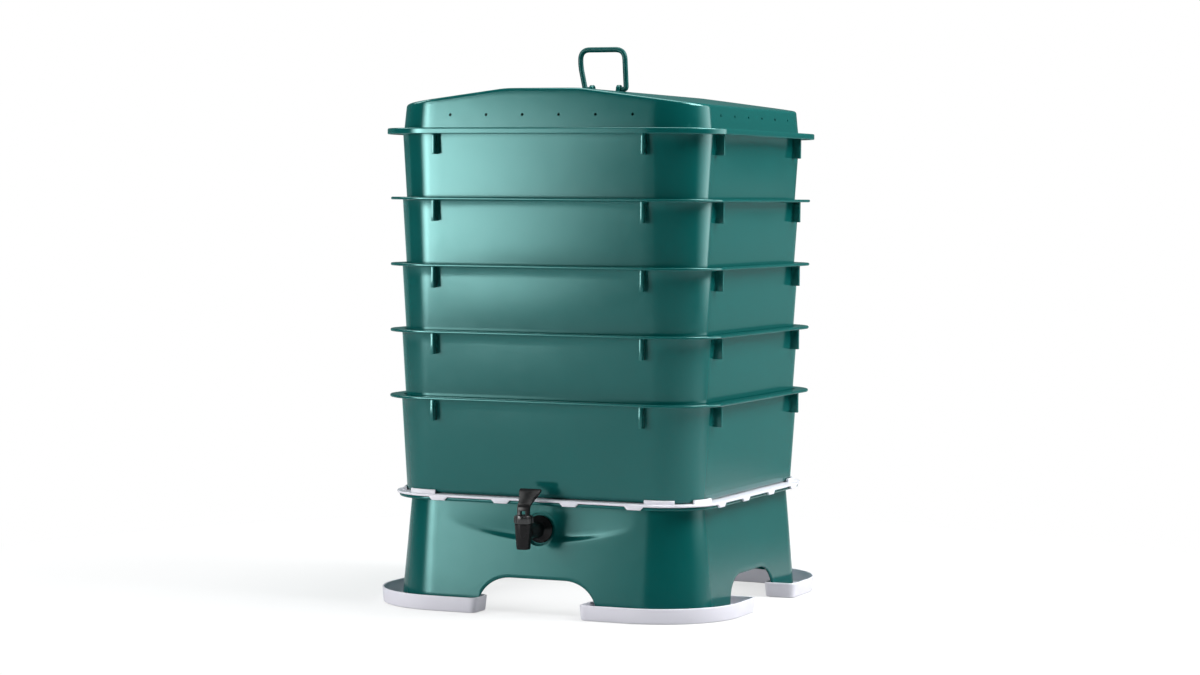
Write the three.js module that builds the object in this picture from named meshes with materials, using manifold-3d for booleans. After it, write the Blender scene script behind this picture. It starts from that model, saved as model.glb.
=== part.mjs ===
// Wormery: five nesting worm trays under a vented gable lid, on a stand whose top is a basin with a tap.
// Millimetres, +Z up, floor at Z = 0, and the side with the tap towards -Y.

import * as THREE from "three";
import { mergeVertices } from "three/addons/utils/BufferGeometryUtils.js";
import Module from "manifold-3d";

const wasm = await Module();
wasm.setup();

// Shared by all pieces
const seatGap = 0.3; // air between two pieces where one rests on the other
const runGap = 0.35; // air round a pin or a stem that turns or slides
const overrun = 6; // how far a cut runs past the face that it opens
const cornerSteps = 6;
const roundSteps = 24;

// Worm trays
const trayCount = 5;
const trayPitch = 79.27; // from one rim to the next
const trayHeight = 116.3;
const trayHalf = 199.4; // half the outside width under the rim
const trayDraft = 7.4; // how much each wall leans in from the rim to the floor
const trayCorner = 56; // corner radius under the rim
const trayWall = 2.5;
const trayFloor = 2.5;
const rimReach = 14;
const rimThick = 3.3;
const ribInset = 9.4; // middle of a rib from the start of the corner
const ribThick = 4;
const ribDrop = 25;
const ribReach = 8.5;
const ledgePlace = 88;
const ledgeWidth = 30;
const ledgeReach = 8;
const ledgeThick = 5;
const drainRadius = 5;
const drainPitch = 62;
const drainRow = 5; // drain holes in a row, and rows

// Lid
const lidDraft = 5; // how much each wall leans in from the flange to the crest
const lidWall = 2.5;
const lidCrest = 49.6; // height of the flat crest above the tray rim
const lidCrestHalf = 48;
const lidFall = 19.5; // from the crest down to the eaves
const lidFlangeReach = 20;
const lidLipGap = 2.3; // air between the lip and the rim of the tray
const lidLipDrop = 4.5; // how far the lip hangs past the rim of the tray
const lidLipWall = 2.3;
const ventRow = 6; // vent holes in a side
const ventPitch = 46.8;
const ventRadius = 1.5;
const ventHeight = 18.1;
const lugThick = 5;
const lugHalf = 7;
const lugWall = 1.8; // plastic round the pin hole
const lugPlace = 18; // middle of a lug from the middle of the lid

// Lid handle, a round rod
const rodRadius = 3.25;
const handlePin = 4.5; // height of the hinge line above the crest
const handleRise = 48.7; // from the hinge line to the middle of the top bar
const handleLeftTop = 33.7;
const handleRightTop = 24.7;
const handleKnee = 29; // height over the hinge line where the left leg leans in
const handleBend = 12; // rounding of the top corners
const handleFootBend = 4;
const handleKneeBend = 7;
const bendSteps = 3;
const rodSides = 6;

// Filter panel between the stand and the lowest tray
const panelThick = 2.6;
const panelHoleRadius = 8;
const panelHolePitch = 56;
const panelHoleRow = 6;
const clipWidth = 25;
const clipThick = 2.7;
const clipDrop = 4;
const clipNear = 44; // middle of the inner clips from the middle of a side
const clipFar = 126;
const guideWidth = 34;
const guideRise = 4.6;
const guideThick = 3;
const guideShift = 8.6; // middle of a guide past the start of the tray's corner
const guideGap = 1; // air between the guides and the foot of the tray

// Stand with its basin
const standHeight = 130.2;
const standInset = 3.6; // from the foot of the lowest tray in to the neck under the flange
const standDraft = 11.3; // how much each wall leans out from the neck to the floor
const standCorner = 60; // corner radius at the floor
const standWall = 3;
const standFlangeReach = 15.1;
const standFlangeThick = 4;
const basinDepth = 46.5; // from the rim down to the basin's lowest line at the front
const basinRise = 18.5; // from that line up to the sides
const basinFall = 7; // from the back down to the front
const archHalf = 77;
const archFlatHalf = 35;
const archHeight = 37.7;
const pocketHalf = 122;
const pocketTopDepth = 0.8;
const pocketDepth = 6.2;
const pocketLift = 1.5; // height of the pocket's crease over the basin floor
const pocketSkin = 0.6; // how far the cutter's ends stand clear of the wall
const pocketSteps = 6;

// Ant trays, the four moats that the legs stand in
const moatOutside = 29; // from the outside of a leg out to the outer rim
const moatInside = 11.5; // and in to the inner rim
const moatCorner = 105;
const moatPastArch = 11; // how far the trough runs on under the arch
const moatHeight = 18;
const moatFlare = 1.5; // how far each wall leans out
const moatWall = 2.5;
const moatEndRadius = 8;

// Tap
const tapRise = 13.1; // middle of the tap's shank above the basin's lowest line
const tapSeatGap = 2.1; // round the tap's flange
const tapSeatInset = 1.7; // from the neck of the stand in to the face that the tap sits on
const tapBossThick = 4.1;
const tapFlangeRadius = 16.4;
const tapFlangeThick = 3.5;
const tapReach = 44; // from the front of the flange to the axis of the barrel
const tapNeckRadius = 8.6;
const shankRadius = 7.6;
const shankInside = 12.6; // how far the shank stands into the basin
const inletRadius = 4.5;
const barrelTopRadius = 10.8;
const barrelBottomRadius = 8;
const barrelRise = 10.8;
const barrelDrop = 19.1;
const spoutWall = 3;
const chamberWall = 3.3;
const seatDrop = 6.6; // from the shank's axis down to the valve seat
const washerThick = 1.2;
const washerInset = 1.9; // from the edge of the tap's flange
const innerWasherThick = 1.5;
const nutWall = 3.4;
const nutThick = 7;
const collarRadius = 11.5;
const collarFlute = 0.7;
const collarFlutes = 16;
const collarHeight = 9.8;
const collarSpigot = 4.7;
const pinDrop = 2.7; // from the top of the collar down to the lever's pin
const pinRadius = 1.2;
const pinInset = 1.3; // from the collar's outside to the end of the pin
const leverWidth = 15.3;
const leverThick = 5;
const leverFoot = 3.2;
const leverNeck = 13.3;
const leverPaddle = 29;
const leverPaddleWidth = 27.4;
const leverPaddleThick = 4;
const leverBend = THREE.MathUtils.degToRad(49);
const leverTilt = THREE.MathUtils.degToRad(40); // how far the lever is pulled to open the tap
const forkRise = 8.5;
const stemRadius = 2.4;
const stemHead = 3.4; // half the depth of the stem's slotted head
const stemHeadBelow = 5.8;
const stemHeadAbove = 3.2;
const stemLift = 3;
const sealGap = 0.5; // round the seal in its chamber
const sealNeckRadius = 4;
const sealHeight = 5.8;
const sealLip = 1.5;
const sealFloor = 2.5;

// Finishes
const green = new THREE.MeshStandardMaterial({ color: 0x2c7a73, roughness: 0.38, metalness: 0 });
const white = new THREE.MeshStandardMaterial({ color: 0xe3e1ea, roughness: 0.5, metalness: 0 });
const black = new THREE.MeshStandardMaterial({ color: 0x1d1c1f, roughness: 0.35, metalness: 0 });
const clear = new THREE.MeshStandardMaterial({ color: 0xcfcac0, roughness: 0.6, metalness: 0 });

// A solid for cutting and joining, from a closed geometry.
function solid(geometry) {
  const bare = geometry.clone();
  bare.deleteAttribute("normal");
  bare.deleteAttribute("uv");
  const merged = mergeVertices(bare);
  const made = new wasm.Manifold(
    new wasm.Mesh({
      numProp: 3,
      vertProperties: merged.attributes.position.array,
      triVerts: new Uint32Array(merged.index.array),
    }),
  );
  return made;
}

// A named mesh of a solid.
function piece(name, shape, material) {
  const mesh = shape.getMesh();
  const geometry = new THREE.BufferGeometry();
  geometry.setAttribute("position", new THREE.BufferAttribute(mesh.vertProperties, 3));
  geometry.setIndex(new THREE.BufferAttribute(mesh.triVerts, 1));
  geometry.computeVertexNormals();
  const made = new THREE.Mesh(geometry, material);
  made.name = name;
  return made;
}

// The triangles that fill a flat loop, wound as the loop is.
function capOf(loop) {
  const box = new THREE.Box3().setFromPoints(loop);
  const size = box.getSize(new THREE.Vector3());
  const axes = ["x", "y", "z"].sort((a, b) => size[b] - size[a]);
  const flat = loop.map((p) => new THREE.Vector2(p[axes[0]], p[axes[1]]));
  const turn = Math.sign(THREE.ShapeUtils.area(flat));
  return THREE.ShapeUtils.triangulateShape(flat, []).map(([a, b, c]) => {
    const area = THREE.ShapeUtils.area([flat[a], flat[b], flat[c]]);
    return Math.sign(area) === turn ? [a, b, c] : [a, c, b];
  });
}

// The volume inside a list of triangles, negative where they face inwards.
function volumeOf(points, index) {
  let volume = 0;
  const cross = new THREE.Vector3();
  for (let i = 0; i < index.length; i += 3) {
    cross.crossVectors(points[index[i + 1]], points[index[i + 2]]);
    volume += points[index[i]].dot(cross);
  }
  return volume;
}

// A closed solid through flat loops of points that all have the same count.
function loft(loops) {
  const points = loops.flat();
  const count = loops[0].length;
  const index = [];
  for (let row = 0; row + 1 < loops.length; row++) {
    for (let i = 0; i < count; i++) {
      const a = row * count + i;
      const b = row * count + ((i + 1) % count);
      index.push(a, b, b + count, a, b + count, a + count);
    }
  }
  const last = points.length - count;
  for (const [a, b, c] of capOf(loops[0])) {
    index.push(a, c, b);
  }
  for (const [a, b, c] of capOf(loops[loops.length - 1])) {
    index.push(last + a, last + b, last + c);
  }
  if (volumeOf(points, index) < 0) {
    index.reverse();
  }
  const geometry = new THREE.BufferGeometry().setFromPoints(points);
  geometry.setIndex(index);
  return solid(geometry);
}

// A square loop with round corners, whose corner arcs are centred at the given distance from both axes.
function squareLoop(half, centre, z) {
  const loop = [];
  const radius = half - centre;
  for (let corner = 0; corner < 4; corner++) {
    const start = (corner * Math.PI) / 2;
    const middle = start + Math.PI / 4;
    const cx = Math.sign(Math.cos(middle)) * centre;
    const cy = Math.sign(Math.sin(middle)) * centre;
    for (let i = 0; i <= cornerSteps; i++) {
      const angle = start + (i / cornerSteps) * (Math.PI / 2);
      loop.push(new THREE.Vector3(cx + radius * Math.cos(angle), cy + radius * Math.sin(angle), z));
    }
  }
  return loop;
}

// A block between two square loops.
function block(centre, halfLow, zLow, halfHigh, zHigh) {
  return loft([squareLoop(halfLow, centre, zLow), squareLoop(halfHigh, centre, zHigh)]);
}

// A box between two corners.
function box(x0, y0, z0, x1, y1, z1) {
  const geometry = new THREE.BoxGeometry(x1 - x0, y1 - y0, z1 - z0);
  return solid(geometry.translate((x0 + x1) / 2, (y0 + y1) / 2, (z0 + z1) / 2));
}

// A prism along X of an outline of [y, z] points, and one along Y of an outline of [x, z] points.
function prismX(outline, x0, x1) {
  return loft([x0, x1].map((x) => outline.map(([y, z]) => new THREE.Vector3(x, y, z))));
}

function prismY(outline, y0, y1) {
  return loft([y0, y1].map((y) => outline.map(([x, z]) => new THREE.Vector3(x, y, z))));
}

// Round bars along the three axes.
function barZ(radius, z0, z1, sides = roundSteps) {
  const geometry = new THREE.CylinderGeometry(radius, radius, z1 - z0, sides);
  return solid(geometry.rotateX(Math.PI / 2).translate(0, 0, (z0 + z1) / 2));
}

function barY(radius, y0, y1, sides = roundSteps) {
  return solid(new THREE.CylinderGeometry(radius, radius, y1 - y0, sides).translate(0, (y0 + y1) / 2, 0));
}

function barX(radius, x0, x1, sides = roundSteps) {
  const geometry = new THREE.CylinderGeometry(radius, radius, x1 - x0, sides);
  return solid(geometry.rotateZ(Math.PI / 2).translate((x0 + x1) / 2, 0, 0));
}

// A turned solid of a profile of [radius, z] points that starts and ends on the axis.
function turned(profile) {
  const points = profile.map(([r, z]) => new THREE.Vector2(r, z));
  return solid(new THREE.LatheGeometry(points, roundSteps).rotateX(Math.PI / 2));
}

// A solid and its copies turned about Z, one for each of the four sides.
function fourSides(shape) {
  const turns = [0, 1, 2, 3].map((k) => shape.rotate([0, 0, k * 90]));
  return turns.reduce((all, one) => all.add(one));
}

// Places in a row of equal pitch, centred on zero.
function rowOf(count, pitch) {
  return Array.from({ length: count }, (_, i) => (i - (count - 1) / 2) * pitch);
}

function middleOf(a, b, share) {
  return a + (b - a) * share;
}

// Worm tray: a drafted box with an outward rim, ribs under the rim, stacking ledges and drain holes.
const trayCentre = trayHalf - trayCorner;
const trayFootHalf = trayHalf - trayDraft;
const rimHalf = trayHalf + rimReach;

function trayHalfAt(z) {
  return middleOf(trayFootHalf, trayHalf, z / trayHeight);
}

function makeTray() {
  const rimLow = trayHeight - rimThick;
  const top = trayHeight + overrun;
  const body = block(trayCentre, trayFootHalf, 0, trayHalf, trayHeight);
  const rim = block(trayCentre, rimHalf, rimLow, rimHalf, trayHeight);
  const insideLow = trayHalfAt(trayFloor) - trayWall;
  const insideHigh = trayHalfAt(top) - trayWall;
  const inside = block(trayCentre, insideLow, trayFloor, insideHigh, top);

  const ribLow = rimLow - ribDrop;
  const ribRoot = trayHalfAt(rimLow) - trayWall / 2;
  const ribLowRoot = trayHalfAt(ribLow) - trayWall / 2;
  const ribEdge = trayHalf + ribReach;
  const ribSide = [
    [ribRoot, rimLow + rimThick / 2],
    [ribEdge, rimLow + rimThick / 2],
    [ribEdge, ribLow],
    [ribLowRoot, ribLow],
  ];
  const rib = prismY(ribSide, -ribThick / 2, ribThick / 2);
  const ribPlace = trayCentre - ribInset;
  const ribs = rib.translate([0, ribPlace, 0]).add(rib.translate([0, -ribPlace, 0]));

  const ledgeTop = trayPitch - seatGap;
  const ledgeLow = ledgeTop - ledgeThick;
  const ledgeRoot = trayHalfAt(ledgeLow) - trayWall / 2;
  const ledgeTip = trayHalfAt(ledgeTop) - trayWall - ledgeReach;
  const ledge = box(ledgeTip, -ledgeWidth / 2, ledgeLow, ledgeRoot, ledgeWidth / 2, ledgeTop);
  const ledges = ledge.translate([0, ledgePlace, 0]).add(ledge.translate([0, -ledgePlace, 0]));

  let tray = body.add(rim).subtract(inside).add(fourSides(ribs)).add(fourSides(ledges));
  const drain = barZ(drainRadius, -overrun, trayFloor + overrun, 6);
  for (const x of rowOf(drainRow, drainPitch)) {
    for (const y of rowOf(drainRow, drainPitch)) {
      tray = tray.subtract(drain.translate([x, y, 0]));
    }
  }
  return tray;
}

// Lid: a shell with a low gable roof that runs front to back, vent holes, and two lugs for the handle.
// Its zero height is the rim that it rests on.
const lidFlangeHalf = rimHalf + lidLipGap + lidLipWall;
const lidHalf = lidFlangeHalf - lidFlangeReach;

function lidHalfAt(z) {
  return middleOf(lidHalf, lidHalf - lidDraft, z / lidCrest);
}

function gable(drop) {
  const eaves = lidCrest - lidFall - drop;
  const crest = lidCrest - drop;
  return [
    [-lidHalf, -lidLipDrop - overrun],
    [lidHalf, -lidLipDrop - overrun],
    [lidHalf, eaves],
    [lidCrestHalf, crest],
    [-lidCrestHalf, crest],
    [-lidHalf, eaves],
  ];
}

function makeLid() {
  const top = lidCrest + overrun;
  const lipHalf = rimHalf + lidLipGap;
  const outside = block(trayCentre, lidHalf, 0, lidHalfAt(top), top);
  const roofed = outside.intersect(prismY(gable(0), -lidHalf, lidHalf));
  const insideLow = lidHalfAt(-overrun) - lidWall;
  const inside = block(trayCentre, insideLow, -overrun, lidHalfAt(top) - lidWall, top);
  const hollow = inside.intersect(prismY(gable(lidWall), -lidHalf, lidHalf));
  const flange = block(trayCentre, lidFlangeHalf, -lidLipDrop, lidFlangeHalf, lidWall);
  const recess = block(trayCentre, lipHalf, -lidLipDrop - overrun, lipHalf, 0);

  const hinge = lidCrest + handlePin;
  const lugRound = rodRadius + runGap + lugWall;
  const lugSide = [
    [-lugHalf, lidCrest - lidWall / 2],
    [lugHalf, lidCrest - lidWall / 2],
  ];
  for (let i = 0; i <= cornerSteps; i++) {
    const angle = (i / cornerSteps) * Math.PI;
    lugSide.push([lugRound * Math.cos(angle), hinge + lugRound * Math.sin(angle)]);
  }
  const lug = prismX(lugSide, -lugThick / 2, lugThick / 2);
  const lugs = lug.translate([lugPlace, 0, 0]).add(lug.translate([-lugPlace, 0, 0]));
  const reach = lugPlace + lugThick;
  const pinHole = barX((rodRadius + runGap) / Math.cos(Math.PI / roundSteps), -reach, reach);

  let lid = roofed.add(flange).subtract(recess).subtract(hollow);
  lid = lid.add(lugs).subtract(pinHole.translate([0, 0, hinge]));
  const ventReach = lidHalf + overrun;
  for (const place of rowOf(ventRow, ventPitch)) {
    const across = barY(ventRadius, -ventReach, ventReach, 6).translate([place, 0, ventHeight]);
    const along = barX(ventRadius, -ventReach, ventReach, 6).translate([0, place, ventHeight]);
    lid = lid.subtract(across).subtract(along);
  }
  return lid;
}

// A round rod along a line of points in the XZ plane, with a rounded bend at each inner point.
function bentRod(points, bends) {
  const loops = [];
  const addRing = (at, along) => {
    const side = new THREE.Vector3(0, 1, 0).cross(along);
    const ring = [];
    for (let i = 0; i < rodSides; i++) {
      const angle = (i / rodSides) * 2 * Math.PI;
      const point = at.clone().addScaledVector(side, rodRadius * Math.cos(angle));
      point.y += rodRadius * Math.sin(angle);
      ring.push(point);
    }
    loops.push(ring);
  };
  const last = points.length - 1;
  addRing(points[0], points[1].clone().sub(points[0]).normalize());
  for (let i = 1; i < last; i++) {
    const here = points[i];
    const before = points[i - 1].clone().sub(here).setLength(bends[i - 1]).add(here);
    const after = points[i + 1].clone().sub(here).setLength(bends[i - 1]).add(here);
    const bend = new THREE.QuadraticBezierCurve3(before, here, after);
    for (let k = 0; k <= bendSteps; k++) {
      addRing(bend.getPoint(k / bendSteps), bend.getTangent(k / bendSteps));
    }
  }
  addRing(points[last], points[last].clone().sub(points[last - 1]).normalize());
  return loft(loops);
}

// Handle: one round rod whose ends turn in through the lugs. Its zero height is the hinge line.
function makeHandle() {
  const pinEnd = lugPlace - lugThick / 2;
  const foot = lugPlace + lugThick / 2 + runGap + 2 * rodRadius;
  const points = [
    new THREE.Vector3(-pinEnd, 0, 0),
    new THREE.Vector3(-foot, 0, 0),
    new THREE.Vector3(-handleLeftTop, 0, handleKnee),
    new THREE.Vector3(-handleLeftTop, 0, handleRise),
    new THREE.Vector3(handleRightTop, 0, handleRise),
    new THREE.Vector3(foot, 0, 0),
    new THREE.Vector3(pinEnd, 0, 0),
  ];
  const bends = [handleFootBend, handleKneeBend, handleBend, handleBend, handleFootBend];
  return bentRod(points, bends);
}

// Stand: a hollow skirt with an arch in each side, a flange, and a basin whose floor falls to the tap.
// Its zero height is the foot of its legs.
const standNeckHalf = trayFootHalf - standInset;
const standHalf = standNeckHalf + standDraft;
const standCentre = standHalf - standCorner;
const standNeck = standHeight - standFlangeThick;
const basinLow = standHeight - basinDepth;

function standHalfAt(z) {
  return middleOf(standHalf, standNeckHalf, z / standNeck);
}

function basinFloor(x) {
  return basinLow + basinRise * Math.min(1, Math.abs(x) / pocketHalf) ** 2;
}

// The space over or under the basin's floor, as a trough along Y that falls to the front.
function trough(offset, end) {
  const outline = [[standHalf, end]];
  outline.push([-standHalf, end]);
  outline.push([-standHalf, basinFloor(standHalf) + offset]);
  for (let i = -pocketSteps; i <= pocketSteps; i++) {
    const x = (pocketHalf * i) / pocketSteps;
    outline.push([x, basinFloor(x) + offset]);
  }
  outline.push([standHalf, basinFloor(standHalf) + offset]);
  const fall = basinFall / (2 * standHalf);
  const loops = [-standHalf, standHalf].map((y) =>
    outline.map(([x, z]) => new THREE.Vector3(x, y, z === end ? z : z + fall * (y + standHalf))),
  );
  return loft(loops);
}

// The shallow pocket that is pressed into the front wall, from its curved crease up to the flange.
function pocket(inset, drop) {
  const loops = [];
  const far = -standHalf - overrun;
  for (let i = -pocketSteps; i <= pocketSteps; i++) {
    const share = i / pocketSteps;
    const x = pocketHalf * share;
    const fade = 1 - share * share;
    const low = basinFloor(x) + pocketLift - drop;
    const skin = pocketSkin * (1 - fade);
    const deep = -standHalfAt(low) + pocketDepth * fade - skin + inset;
    const shallow = -standHalfAt(standNeck) + pocketTopDepth * fade - skin + inset;
    loops.push([
      new THREE.Vector3(x, far, low),
      new THREE.Vector3(x, deep, low),
      new THREE.Vector3(x, shallow, standNeck),
      new THREE.Vector3(x, far, standNeck),
    ]);
  }
  return loft(loops);
}

function archOutline() {
  const shape = new THREE.Shape();
  const side = archHalf - archFlatHalf;
  shape.moveTo(archHalf, -overrun);
  shape.lineTo(archHalf, 0);
  shape.absellipse(archFlatHalf, 0, side, archHeight, 0, Math.PI / 2);
  shape.absellipse(-archFlatHalf, 0, side, archHeight, Math.PI / 2, Math.PI);
  shape.lineTo(-archHalf, -overrun);
  return shape.getPoints(cornerSteps).map((p) => [p.x, p.y]);
}

const tapSeat = -standNeckHalf + tapSeatInset; // the face outside that the tap sits on
const tapSeatRadius = tapFlangeRadius + tapSeatGap;
const tapHeight = basinLow + tapRise;

function makeStand() {
  const flangeHalf = standNeckHalf + standFlangeReach;
  const top = standHeight + overrun;
  const neck = standNeckHalf - standWall;
  const skirt = block(standCentre, standHalf, 0, standNeckHalf, standNeck);
  const flange = block(standCentre, flangeHalf, standNeck, flangeHalf, standHeight);
  const innerLow = standHalfAt(-overrun) - standWall;
  const inner = block(standCentre, innerLow, -overrun, neck, standNeck);
  const basin = block(standCentre, standHalfAt(basinLow) - standWall, basinLow, neck, top);
  const under = inner.intersect(trough(-standWall, -overrun));
  const over = basin.intersect(trough(0, top)).subtract(pocket(standWall, pocketLift + standWall));

  const bossRadius = tapSeatRadius + standWall;
  const bossInside = tapSeat + tapBossThick;
  const bossFront = -standHalfAt(tapHeight) + standWall / 2;
  const boss = barY(bossRadius, bossFront, bossInside).translate([0, 0, tapHeight]);
  const seat = barY(tapSeatRadius, -standHalf - overrun, tapSeat).translate([0, 0, tapHeight]);
  const hole = barY(shankRadius + runGap, tapSeat - overrun, bossInside + overrun);

  const span = standHalf + overrun;
  const arch = prismY(archOutline(), -span, span);
  let stand = skirt.add(flange).subtract(under).subtract(over).add(boss);
  stand = stand.subtract(pocket(0, 0)).subtract(seat).subtract(hole.translate([0, 0, tapHeight]));
  return stand.subtract(arch).subtract(arch.rotate([0, 0, 90]));
}

// Filter panel: a flat perforated plate with clips over the stand's flange and guides for the lowest tray.
// Its zero height is the stand's flange.
function edgeTabs(centre, innerHalf, outerHalf, zLow, zHigh, places, width) {
  const ring = block(centre, outerHalf, zLow, outerHalf, zHigh).subtract(
    block(centre, innerHalf, zLow - overrun, innerHalf, zHigh + overrun),
  );
  const reach = outerHalf + overrun;
  const windows = places.map((place) =>
    box(centre, place - width / 2, zLow, reach, place + width / 2, zHigh),
  );
  return ring.intersect(fourSides(windows.reduce((all, one) => all.add(one))));
}

function makePanel() {
  const clipHalf = standNeckHalf + standFlangeReach + seatGap;
  const guideHalf = trayFootHalf + guideGap;
  const half = clipHalf + clipThick;
  const clips = [-clipFar, -clipNear, clipNear, clipFar];
  const guides = [-trayCentre - guideShift, trayCentre + guideShift];
  let panel = block(standCentre, half, 0, half, panelThick);
  panel = panel.add(edgeTabs(standCentre, clipHalf, half, -clipDrop, panelThick / 2, clips, clipWidth));
  const guideTop = panelThick + guideRise;
  const guideOut = guideHalf + guideThick;
  panel = panel.add(
    edgeTabs(trayCentre, guideHalf, guideOut, panelThick / 2, guideTop, guides, guideWidth),
  );
  const drain = barZ(panelHoleRadius, -overrun, panelThick + overrun, 6);
  for (const x of rowOf(panelHoleRow, panelHolePitch)) {
    for (const y of rowOf(panelHoleRow, panelHolePitch)) {
      panel = panel.subtract(drain.translate([x, y, 0]));
    }
  }
  return panel;
}

// Ant tray: an open trough round one corner, with a loop in its own quadrant at +X and +Y.
const moatHalf = standHalf + moatOutside;

function moatLoop(inset, share, z) {
  const lean = moatFlare * (1 - share);
  const outer = moatHalf - inset - lean;
  const inner = standHalf - moatInside + inset + lean;
  const arm = archHalf - moatPastArch + inset + lean;
  const centre = moatHalf - moatCorner;
  const end = moatEndRadius - inset;
  const shape = new THREE.Shape();
  shape.moveTo(outer, arm + end);
  shape.lineTo(outer, centre);
  shape.absarc(centre, centre, outer - centre, 0, Math.PI / 2);
  shape.lineTo(arm + end, outer);
  shape.absarc(arm + end, outer - end, end, Math.PI / 2, Math.PI);
  shape.absarc(arm + end, inner + end, end, Math.PI, 1.5 * Math.PI);
  shape.lineTo(centre, inner);
  shape.absarc(centre, centre, inner - centre, Math.PI / 2, 0, true);
  shape.lineTo(inner, arm + end);
  shape.absarc(inner + end, arm + end, end, Math.PI, 1.5 * Math.PI);
  shape.absarc(outer - end, arm + end, end, 1.5 * Math.PI, 2 * Math.PI);
  const points = shape.getPoints(cornerSteps / 2);
  const seen = points.filter((p, i) => i === 0 || p.distanceTo(points[i - 1]) > seatGap / 2);
  if (seen[0].distanceTo(seen[seen.length - 1]) < seatGap / 2) {
    seen.pop();
  }
  return seen.map((p) => new THREE.Vector3(p.x, p.y, z));
}

function makeMoat() {
  const high = 1 + overrun / moatHeight;
  const outside = loft([moatLoop(0, 0, 0), moatLoop(0, 1, moatHeight)]);
  const floor = moatWall / moatHeight;
  const inside = loft([
    moatLoop(moatWall, floor, moatWall),
    moatLoop(moatWall, high, moatHeight + overrun),
  ]);
  return outside.subtract(inside);
}

// Tap. Its zero point is where the barrel's axis meets the shank's, and the shank runs to +Y.
const flangeBack = tapReach + tapFlangeThick;
const seatFace = flangeBack + 2 * seatGap + washerThick;
const bossFace = seatFace + tapBossThick;
const innerWasherEnd = bossFace + seatGap + innerWasherThick;
const collarFoot = barrelRise + seatGap;
const pinLine = collarFoot + collarHeight - pinDrop;
const pinHalf = collarRadius - pinInset;
const chamberRadius = barrelTopRadius - chamberWall;
const spoutRadius = barrelBottomRadius - spoutWall;
const sealRadius = chamberRadius - sealGap;
const washerRadius = tapFlangeRadius - washerInset;
const nutRadius = shankRadius + nutWall;

function makeTapBody() {
  const barrel = turned([
    [0, -barrelDrop],
    [barrelBottomRadius, -barrelDrop],
    [barrelTopRadius, barrelRise],
    [0, barrelRise],
  ]);
  const shankEnd = bossFace + shankInside;
  const neck = barY(tapNeckRadius, 0, tapReach + seatGap);
  const flange = barY(tapFlangeRadius, tapReach, flangeBack);
  const shank = barY(shankRadius, tapReach, shankEnd);
  const chamber = barZ(chamberRadius, -seatDrop, barrelRise + overrun);
  const spout = barZ(spoutRadius, -barrelDrop - overrun, 0);
  const inlet = barY(inletRadius, 0, shankEnd + overrun);
  return barrel.add(neck).add(flange).add(shank).subtract(chamber).subtract(spout).subtract(inlet);
}

function makeWasher(radius, thick) {
  const hole = barY(shankRadius + runGap, -overrun, thick + overrun);
  return barY(radius, 0, thick).subtract(hole);
}

function makeNut() {
  const hole = barY(shankRadius + runGap, -overrun, nutThick + overrun);
  return barY(nutRadius, 0, nutThick, 6).subtract(hole);
}

function makeCollar() {
  const flutes = [];
  for (let i = 0; i < 2 * collarFlutes; i++) {
    const angle = (i / collarFlutes) * Math.PI;
    const radius = collarRadius - (i % 2) * collarFlute;
    flutes.push([radius * Math.cos(angle), radius * Math.sin(angle)]);
  }
  const ring = [collarFoot, collarFoot + collarHeight].map((z) =>
    flutes.map(([x, y]) => new THREE.Vector3(x, y, z)),
  );
  const spigotLow = collarFoot - collarSpigot - seatGap;
  const spigot = barZ(chamberRadius - runGap, spigotLow, collarFoot + collarHeight / 2);
  const half = leverWidth / 2 + runGap;
  const top = collarFoot + collarHeight;
  const open = (top - pinLine) * Math.tan(leverTilt) + leverThick / 2 / Math.cos(leverTilt);
  const floor = pinLine - stemHeadBelow + runGap / 2;
  const front = -Math.max(open, stemHead) - 2 * runGap;
  const back = Math.max(leverFoot, stemHead) + runGap;
  const recess = box(-half, front, floor - 2 * runGap, half, back, top + overrun);
  const stemHole = barZ(stemRadius + runGap, collarFoot - collarSpigot - overrun, top);
  const reach = collarRadius + overrun;
  const pinHole = barX(pinRadius + runGap, -reach, reach, 12).translate([0, 0, pinLine]);
  return loft(ring).add(spigot).subtract(recess).subtract(stemHole).subtract(pinHole);
}

// The lever's zero point is its pin. The forked foot stands round the head of the stem.
function makeLever() {
  const half = leverWidth / 2;
  const paddleHalf = leverPaddleWidth / 2;
  const foot = barX(leverFoot, -half, half, 16);
  const neck = box(-half, -leverThick / 2, 0, half, leverThick / 2, leverNeck);
  const knee = barX(leverThick / 2, -half, half, 12).translate([0, 0, leverNeck]);
  const face = [
    [-half, 0],
    [half, 0],
    [paddleHalf, leverPaddle],
    [-paddleHalf, leverPaddle],
  ];
  const paddle = prismY(face, -leverPaddleThick / 2, leverPaddleThick / 2);
  const bent = paddle.rotate([-THREE.MathUtils.radToDeg(leverBend), 0, 0]);
  const forkHalf = stemRadius + 2 * runGap;
  const back = leverFoot + overrun;
  const fork = box(-forkHalf, -back, -back, forkHalf, back, forkRise);
  const pinHole = barX(pinRadius + runGap, -half - overrun, half + overrun, 12);
  const lever = foot.add(neck).add(knee).add(bent.translate([0, 0, leverNeck]));
  return lever.subtract(fork).subtract(pinHole);
}

// The stem's slotted head stands in the lever's fork, and the pin passes through the slot.
function makeStem() {
  const foot = -seatDrop + seatGap + sealFloor + seatGap;
  const headLow = pinLine - stemHeadBelow;
  const headHigh = pinLine + stemHeadAbove;
  const rod = barZ(stemRadius, foot, headLow + runGap, 16);
  const head = box(-stemRadius, -stemHead, headLow, stemRadius, stemHead, headHigh);
  const slotHalf = pinRadius + runGap;
  const slotReach = stemRadius + overrun;
  const slotLow = pinLine - slotHalf - stemLift;
  const slot = box(-slotReach, -slotHalf, slotLow, slotReach, slotHalf, pinLine + slotHalf);
  return rod.add(head).subtract(slot);
}

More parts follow.
